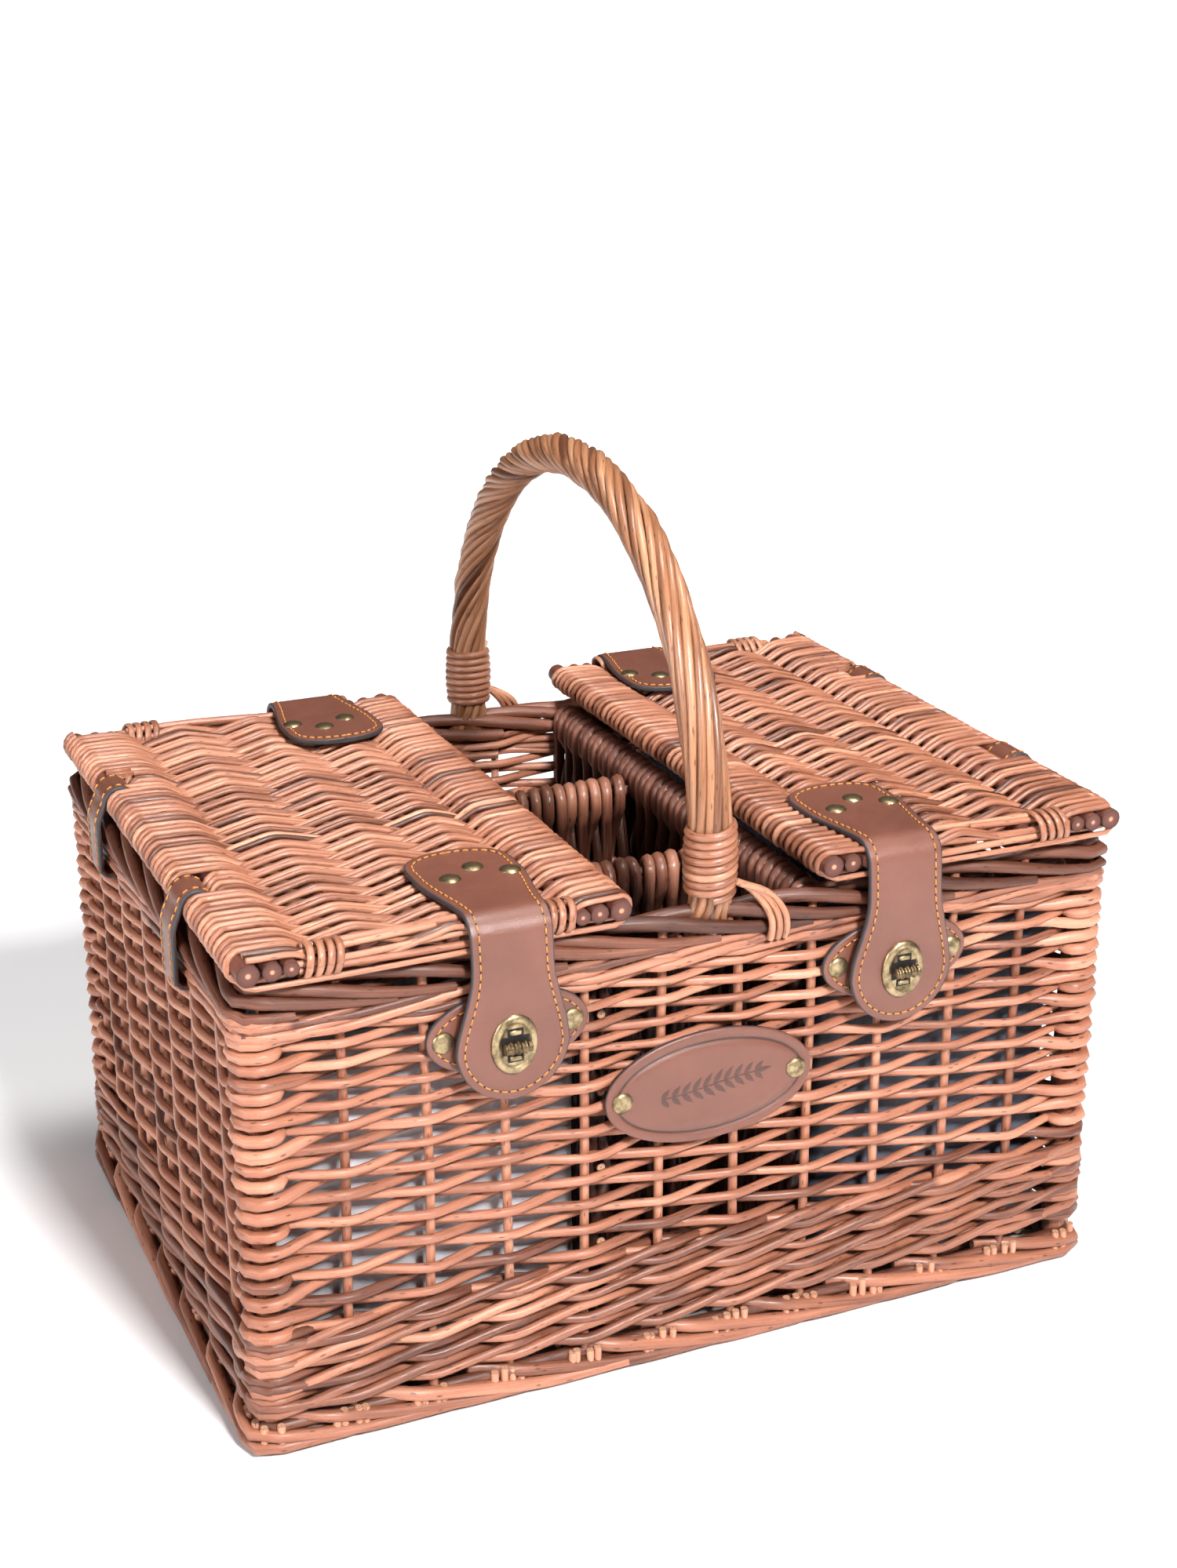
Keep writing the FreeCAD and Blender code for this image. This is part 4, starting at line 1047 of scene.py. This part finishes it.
def make_label():
    """The oval leather badge: a pressed border line and a plain sprig of leaves, no lettering."""
    low, high = box("label_plate")
    middle, size = (low + high) / 2, high - low
    at = facing(-1, middle[0], -high[1], middle[2])
    plates = Plates()
    profile = [(0.4, 0.0), (0.0, 0.4), (0.0, size[1] - 0.7), (0.35, size[1] - 0.2), (1.0, size[1]),
               (5.0, size[1]), (5.35, size[1] - 0.55), (6.0, size[1] - 0.55), (6.35, size[1]),
               (12, size[1]), (20, size[1])]
    plates.turned(at, profile, [1, 1, 0, 0, 0, 4, 4, 4, 0, 0], size[0], size[2], 72)
    height = size[1] + 0.12

    def leaf(root, heading, length, breadth):
        share = np.linspace(0, 1, 9)
        spine = root + share[:, None] * length * np.array([math.cos(heading), math.sin(heading)])
        aside = np.array([-math.sin(heading), math.cos(heading)])
        half = breadth / 2 * np.sin(np.pi * share ** 0.8) + 0.08
        rows = [at((spine + k * half[:, None] * aside)[:, 0], (spine + k * half[:, None] * aside)[:, 1],
                   np.full(9, height + (0.12 if k == 0 else -0.1))) for k in (-1, 0, 1)]
        plates.grid(np.transpose(rows, (1, 0, 2)), 4, closed=False)

    stem = np.linspace(-26, 24, 10)
    curve = 2.6 * np.sin(stem / 17)
    for x, y in zip(stem, curve):
        lean = 0.15 * math.cos(x / 17)
        for hand in (-1, 1):
            leaf(np.array([x, y]), lean + hand * 0.85, 9.0 - abs(x) * 0.1, 2.7)
    leaf(np.array([24.0, curve[-1]]), 0.1, 9, 2.7)
    rows = [at(stem, curve + k, np.full(len(stem), height + 0.05)) for k in (-0.35, 0.35)]
    plates.grid(np.transpose(rows, (1, 0, 2)), 4, closed=False)
    piece = plates.build("label_badge", LEATHER_SKINS + [PRESSED])
    settle(piece, "basket", "leather", "label_plate")
    studs = Plates()
    for hand in (-1, 1):
        add_stud(studs, facing(-1, middle[0] + hand * 46.5, -low[1], middle[2]))
    settle(studs.build("label_stud_caps", [BRASS]), "basket", "antique_brass", "label_studs")


class Strap:
    """A strap's shape: run goes from its end on the lid, over the edge and down to the lobe."""

    def __init__(self, end, across, along):
        name = f"{across}_{along}"
        lid_low, lid_high = box(name + "_strap_anchor")
        low, high = box(name + "_strap_flap")
        self.name, self.end, self.along = name, end, along
        self.x = (low[0] + high[0]) / 2
        self.thick = high[1] - low[1]
        self.out = min(abs(low[1]), abs(high[1])) + self.thick / 2     # the hanging part's middle
        self.top = lid_high[2] - self.thick / 2 + 0.7
        self.inner = min(abs(lid_low[1]), abs(lid_high[1]))
        self.foot = low[2]
        self.lobe, self.neck, self.bell = 28.0, 20.0, 26.5
        self.bend = 11.0
        self.lock = self.foot + self.lobe
        self.flat = self.out - self.bend - self.inner
        self.arc = self.bend * math.pi / 2
        self.total = self.flat + self.arc + (self.top - self.bend - self.foot)

    def path(self, run):
        """(distance from the basket's middle, height) and outward direction at a run."""
        run = np.asarray(run, float)
        angle = np.clip((run - self.flat) / self.bend, 0, math.pi / 2)
        out = self.inner + np.minimum(run, self.flat) + self.bend * np.sin(angle)
        down = np.maximum(run - self.flat - self.arc, 0)
        high = self.top - self.bend * (1 - np.cos(angle)) - down
        # it dips a little on the lid and stands out slack below the bend
        dip = 0.36 * np.sin(np.clip(run / self.flat, 0, 1) * math.pi)
        slack = 1.5 * np.sin(np.clip(down / 48, 0, 1) * math.pi)
        return out + slack, high - dip, np.sin(angle), np.cos(angle)

    def half(self, run):
        """Half the strap's width at a run."""
        run = np.asarray(run, float)
        edge = self.flat + self.arc * 0.5
        width = self.neck + (self.bell - self.neck) * (1 - step(run, 30, edge - 4))
        share = np.clip(run / 19.0, 0, 1)
        width = width * (1 - (1 - share) ** 2.3) ** (1 / 2.3)
        level = self.top - self.bend - (run - self.flat - self.arc)
        low = np.sqrt(np.maximum(self.lobe ** 2 - np.minimum(level - self.lock, 0) ** 2, 0))
        swell = (self.lobe - self.neck) * (1 - step(level, self.lock - 4, self.lock + 40))
        return np.where(level < self.lock - 4, low, np.where(level < self.lock + 40,
                                                             self.neck + swell, width))

    def at(self, run, side, height):
        out, high, lean_out, lean_up = self.path(run)
        y = self.end * (out + height * lean_out)
        return np.stack([self.x - self.end * side, y, high + height * lean_up], axis=-1)


def make_strap(end, across, along):
    strap = Strap(end, across, along)
    # rows run across the strap; they crowd together at its two round ends
    head = 19 * (1 - np.cos(np.linspace(0.04, math.pi / 2, 12)))
    foot = strap.total - strap.lobe * (1 - np.cos(np.linspace(math.pi / 2, 0.04, 16)))
    bend = np.linspace(strap.flat, strap.flat + strap.arc, 9)
    runs = np.concatenate([head, np.arange(22, strap.flat - 2, 4), bend,
                           np.arange(bend[-1] + 3, foot[0] - 2, 4), foot])
    half_thick = strap.thick / 2
    inside = np.linspace(-1, 1, 15)
    rows = []
    for run in runs:
        wide = float(strap.half(run))
        rim = min(half_thick, wide * 0.9)
        sides, heights = [], []
        flat_part = inside * (wide - rim * 0.55)
        sides += list(flat_part)
        heights += [half_thick - 0.12 * abs(k) ** 6 for k in inside]
        for angle in np.radians([60, 25, -25, -60]):
            sides.append(wide - rim * 0.55 + rim * 0.55 * math.cos(angle) ** 0.5)
            heights.append(half_thick * math.sin(angle))
        sides += list(flat_part[::-1])
        heights += [-half_thick] * len(inside)
        for angle in np.radians([240, 205, 155, 120]):
            sides.append(-(wide - rim * 0.55) - rim * 0.55 * abs(math.cos(angle)) ** 0.5)
            heights.append(half_thick * math.sin(angle))
        rows.append(strap.at(np.full(len(sides), run), np.array(sides), np.array(heights)))
    skins = np.array([0] * 14 + [1] * 5 + [0] * 14 + [1] * 5)
    plates = Plates()
    plates.grid(np.array(rows), skins)
    plates.fan(rows[0], rows[0].mean(axis=0), 1)
    plates.fan(rows[-1], rows[-1].mean(axis=0), 1, flip=True)

    # stitches 4 mm inside the outline, evenly along it
    fine = np.concatenate([19 * (1 - np.cos(np.linspace(0, math.pi / 2, 40))),
                           np.linspace(19.5, strap.total - strap.lobe - 0.5, 160),
                           strap.total - strap.lobe * (1 - np.cos(np.linspace(math.pi / 2, 0, 40)))])
    right = np.stack([fine, strap.half(fine)], axis=-1)
    line = np.concatenate([right, (right * (1, -1))[::-1]])
    ahead = unit(np.roll(line, -1, axis=0) - np.roll(line, 1, axis=0))
    inner = line + np.stack([-ahead[:, 1], ahead[:, 0]], axis=-1) * -3.9
    span = np.concatenate([[0], np.cumsum(np.linalg.norm(np.diff(inner, axis=0), axis=1))])
    places = np.arange(0, span[-1], 4.4)
    points = np.stack([np.interp(places, span, inner[:, k]) for k in (0, 1)], axis=-1)
    further = np.stack([np.interp(places + 0.6, span, inner[:, k]) for k in (0, 1)], axis=-1)
    base = strap.at(points[:, 0], points[:, 1], np.full(len(points), half_thick + 0.02))
    tip = strap.at(further[:, 0], further[:, 1], np.full(len(points), half_thick + 0.02))
    above = strap.at(points[:, 0], points[:, 1], np.full(len(points), half_thick + 1.02))
    plates.stitch(base, above - base, unit(tip - base), 2, 3)

    name = strap.name
    piece = plates.build(name + "_strap_leather", LEATHER_SKINS)
    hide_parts(name + "_strap_anchor", name + "_strap_flap")
    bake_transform(piece)
    return strap


def make_lock(strap):
    """The oval bezel with its slot, a dark cross of painted shade, and the turn button."""
    name, end = strap.name, strap.end
    low, high = box(name + "_lock_eyelet")
    middle, size = (low + high) / 2, high - low
    face = min(abs(low[1]), abs(high[1]))
    at = facing(end, middle[0], face, middle[2])
    plates = Plates()
    profile = [(0.5, -0.2), (0.0, 0.3), (0.0, 0.8), (0.3, 1.4), (0.9, 1.95), (1.8, 2.3), (3.0, 2.4),
               (3.8, 2.2), (4.1, 1.9), (6.0, 1.9), (8.0, 1.9)]
    plates.turned(at, profile, [0] * 10, size[0], size[2], 48)
    # the slot is a flat near-black upright cross laid just over the plate, narrow at its ends and wide round
    # the barrel: painted shade for the slot's recess and the barrel's shadow
    half_x = np.array([-4.0, 4.0, 4.0, 6.8, 6.8, 4.0, 4.0, -4.0, -4.0, -6.8, -6.8, -4.0])
    half_z = np.array([-8.4, -8.4, -4.6, -4.6, 4.6, 4.6, 8.4, 8.4, 4.6, 4.6, -4.6, -4.6])
    slot = at(half_x, half_z, np.full(12, 1.98))
    plates.fan(slot, slot.mean(axis=0), 1)
    for hand in (-1, 1):        # small lips at the slot's ends
        ring = [at(np.array([-2.9, 2.9, 2.9, -2.9]) * k, hand * (6.4 + np.array([-1, -1, 1, 1]) * 1.1 * k),
                   np.full(4, h)) for k, h in ((1.0, 1.9), (1.0, 2.5), (0.8, 2.8))]
        plates.grid(ring, 0)
        plates.fan(ring[-1], ring[-1].mean(axis=0), 0)
    piece = plates.build(name + "_lock_bezel", [BRASS, HOLE_AND_SHADOW])
    settle(piece, name + "_strap", "antique_brass", name + "_lock_eyelet")

    low, high = box(name + "_turn_button")
    middle = (low + high) / 2
    length, axis_y = high[0] - low[0], max(abs(low[1]), abs(high[1])) - 3.4
    knob = Plates()
    ribs = []
    for share in np.linspace(0, 1, 45):
        wave = 0.45 * math.cos(share * math.pi * 2 * 4)
        cap = min(1.0, math.sqrt(max(1 - (abs(share - 0.5) * 2) ** 14, 0)) + 0.05)
        ribs.append((middle[0] + (share - 0.5) * length * 0.86, (2.85 + wave) * cap))
    angle = np.radians(np.arange(0, 360, 18))
    rings = [np.stack([np.full(20, x), end * axis_y + r * np.cos(angle), middle[2] + r * np.sin(angle)], -1)
             for x, r in ribs]
    knob.grid(rings, 0)
    knob.fan(rings[0], rings[0].mean(axis=0), 0)
    knob.fan(rings[-1], rings[-1].mean(axis=0), 0, flip=True)
    stem = facing(end, middle[0], strap.out, middle[2])
    knob.turned(stem, [(0.0, -2.6), (0.0, axis_y - strap.out)], [0], 5.0, 5.0, 20)
    piece = knob.build(name + "_button", [WORN])
    settle(piece, name + "_button", "antique_brass", name + "_turn_button")


def make_strap_studs(along):
    """Three domed studs in an arc on each strap's upper end."""
    studs = Plates()
    low, high = box(along + "_strap_studs")
    centre, base = (low[0] + high[0]) / 2, high[2] - 2.4
    for end in (-1, 1):
        for number in (-1, 0, 1):
            y = high[1] - STUD_RADIUS - (0 if number else 10)
            add_stud(studs, lying(centre + number * 15, end * y, base - 0.1))
    settle(studs.build(along + "_strap_stud_caps", [BRASS]), along + "_lid", "antique_brass",
           along + "_strap_studs")


def make_hinge_loops(name, hand):
    """Leather bands round the hinge stick and the rim, stitched near their edges."""
    low, high = box(name + "_hinge_loops")
    thick, wide = 2.4, 22.0
    stick_x = abs(box(name + "_lid_hinge_stick")[0][0] + box(name + "_lid_hinge_stick")[1][0]) / 2
    outer = max(abs(low[0]), abs(high[0])) - thick / 2
    inner = min(abs(low[0]), abs(high[0])) + thick / 2
    snug = high[2] - (box(name + "_lid_hinge_stick")[0][2] + box(name + "_lid_hinge_stick")[1][2]) / 2
    axis = high[2] - snug
    snug -= thick / 2
    foot = low[2] + thick / 2
    line = [(inner, foot + 3), (inner + 3, foot), (outer - 3, foot), (outer, foot + 3),
            (outer, 240.0), (outer - 1.5, 245.0)]
    line += [(stick_x + snug * math.cos(a), axis + snug * math.sin(a))
             for a in np.radians(np.arange(0, 181, 20))]
    line += [(inner + 0.5, 243.0), (inner, 238.0)]
    line = np.array(line + line[:1])
    run = np.concatenate([[0], np.cumsum(np.linalg.norm(np.diff(line, axis=0), axis=1))])
    places = np.linspace(0, run[-1], 70)[:-1]
    route = np.stack([np.interp(places, run, line[:, k]) for k in (0, 1)], axis=-1)
    ahead = unit(np.roll(route, -1, axis=0) - np.roll(route, 1, axis=0))
    normal = np.stack([ahead[:, 1], -ahead[:, 0]], axis=-1)
    plates = Plates()
    shape = [(-1.0, 0.5, 1), (-0.97, 0.85, 1), (-0.9, 1.0, 0), (0.0, 1.0, 0), (0.9, 1.0, 0), (0.97, 0.85, 1),
             (1.0, 0.5, 1), (1.0, -0.5, 1), (0.95, -1.0, 0), (-0.95, -1.0, 0), (-1.0, -0.5, 1)]
    for end in (-1, 1):
        centre = end * (high[1] - wide / 2)
        rings = []
        for point, out in zip(route, normal):
            ring = [(hand * (point[0] + out[0] * h * thick / 2), centre + w * wide / 2,
                     point[1] + out[1] * h * thick / 2) for w, h, _ in shape]
            rings.append(ring)
        rings.append(rings[0])
        plates.grid(np.array(rings), np.array([1, 1, 0, 0, 1, 1, 1, 0, 0, 0, 1]))
        for edge in (-1, 1):
            spots = np.arange(2, run[-1], 4.4)
            flat_at = np.stack([np.interp(spots, places, route[:, k], period=run[-1]) for k in (0, 1)], -1)
            outs = unit(np.stack([np.interp(spots, places, normal[:, k], period=run[-1])
                                  for k in (0, 1)], -1))
            skin = flat_at + outs * (thick / 2 + 0.02)
            base = np.stack([hand * skin[:, 0], np.full(len(spots), centre + edge * (wide / 2 - 3.4)),
                             skin[:, 1]], axis=-1)
            above = np.stack([hand * outs[:, 0], np.zeros(len(spots)), outs[:, 1]], axis=-1)
            tangent = np.stack([hand * -outs[:, 1], np.zeros(len(spots)), outs[:, 0]], axis=-1)
            plates.stitch(base, above, tangent, 2, 3)
    piece = plates.build(name + "_hinge_straps", LEATHER_SKINS)
    settle(piece, "basket", "leather", name + "_hinge_loops")


# ---------------------------------------------------------------- put it together
make_wall_weave()
make_wales()
make_stakes()
make_borders()
make_base()
make_screens()
make_liner("left_liner", GREY, "grey_liner")
make_liner("right_liner", NAVY, "dark_liner")
make_handle()
make_binding("front", -1)
make_binding("rear", 1)
for lid_name in ("left", "right"):
    lid = Lid(lid_name)
    rib_places = lid.width * np.array([0.322, 0.54, 0.738])
    make_lid_weave(lid, rib_places)
    make_lid_sticks(lid, rib_places)
    make_lid_edges(lid)
    make_hinge_loops(lid_name, lid.hand)
    make_strap_studs(lid_name)
make_catches()
make_label()
for end, across in ((-1, "front"), (1, "rear")):
    for along in ("left", "right"):
        make_lock(make_strap(end, across, along))

for node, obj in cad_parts.items():
    if not obj.hide_render:
        obj.data.materials.clear()
        obj.data.materials.append(BRASS)


# ---------------------------------------------------------------- floor, light and camera
def make_stage():
    """A pale floor, which glows away from the basket, and bright backdrops on every side."""
    w = Wiring("pale_floor", Roughness=0.9, Specular_IOR_Level=0.1, Emission_Color=(1, 1, 1, 1))
    distance = w.tree.nodes.new("ShaderNodeVectorMath")
    distance.operation = "LENGTH"
    w.join(w.place(), distance.inputs[0])
    w.join(w.spread(distance.outputs["Value"], 0.5, 1.3, 0.0, 0.6), w.shader.inputs["Emission Strength"])
    w.join(w.mix(w.noise(w.place(), 3, 2), (0.86, 0.86, 0.86), (0.9, 0.9, 0.9)),
           w.shader.inputs["Base Color"])
    reach, back = 6000.0, 1700.0
    co = [(-reach, -reach, 0), (reach, -reach, 0), (reach, back, 0), (-reach, back, 0)]
    floor = make_piece("floor", co, [[0, 1, 2, 3]], [], [w.material])
    glow = Wiring("white_backdrop", Emission_Color=(1, 1, 1, 1), Emission_Strength=1.0, Roughness=1.0)
    co = [(-reach, back, 0), (reach, back, 0), (reach, back, 4000), (-reach, back, 4000)]
    backdrop = make_piece("backdrop", co, [[0, 1, 2, 3]], [], [glow.material])
    # only the camera sees the backdrop, so that it does not wash out the shadows
    backdrop.visible_diffuse = False
    backdrop.visible_glossy = False
    co = [(x, y, z) for z in (0, 4000) for x, y in ((-reach, back), (-reach, -reach), (reach, -reach),
                                                    (reach, back))]
    sides = make_piece("side_backdrops", co, [[k, k + 1, k + 5, k + 4] for k in range(3)], [],
                       [glow.material])
    sides.visible_diffuse = False
    sides.visible_glossy = False
    sides.visible_shadow = False
    world = bpy.data.worlds.new("studio")
    world.use_nodes = True
    world.node_tree.nodes["Background"].inputs["Color"].default_value = (1.0, 0.88, 0.80, 1)
    world.node_tree.nodes["Background"].inputs["Strength"].default_value = 0.085
    bpy.context.scene.world = world


def add_lamp(name, place, size, power, colour=(1, 1, 1)):
    """A soft square lamp aimed at the basket's middle."""
    data = bpy.data.lights.new(name, "AREA")
    data.size, data.energy, data.color = size, power, colour
    lamp = bpy.data.objects.new(name, data)
    aim = Vector((0, 0, 0.15)) - Vector(place)
    lamp.location = place
    lamp.rotation_euler = aim.to_track_quat("-Z", "Y").to_euler()
    bpy.context.scene.collection.objects.link(lamp)


def make_camera():
    data = bpy.data.cameras.new("camera")
    data.lens, data.sensor_width = 55.0, 36.0
    camera = bpy.data.objects.new("camera", data)
    camera.location = (-0.4687, -1.0868, 0.6833)
    camera.rotation_euler = (math.radians(90 - 20.12), 0, math.radians(-23.84))
    bpy.context.scene.collection.objects.link(camera)
    bpy.context.scene.camera = camera


make_stage()
add_lamp("key", (0.15, -2.1, 1.9), 0.4, 122)
add_lamp("top", (0.2, -0.2, 2.3), 0.6, 34)
add_lamp("side", (-2.2, -0.6, 1.0), 1.0, 34, (0.98, 0.97, 1.0))
make_camera()
bpy.context.scene.view_settings.view_transform = "Standard"
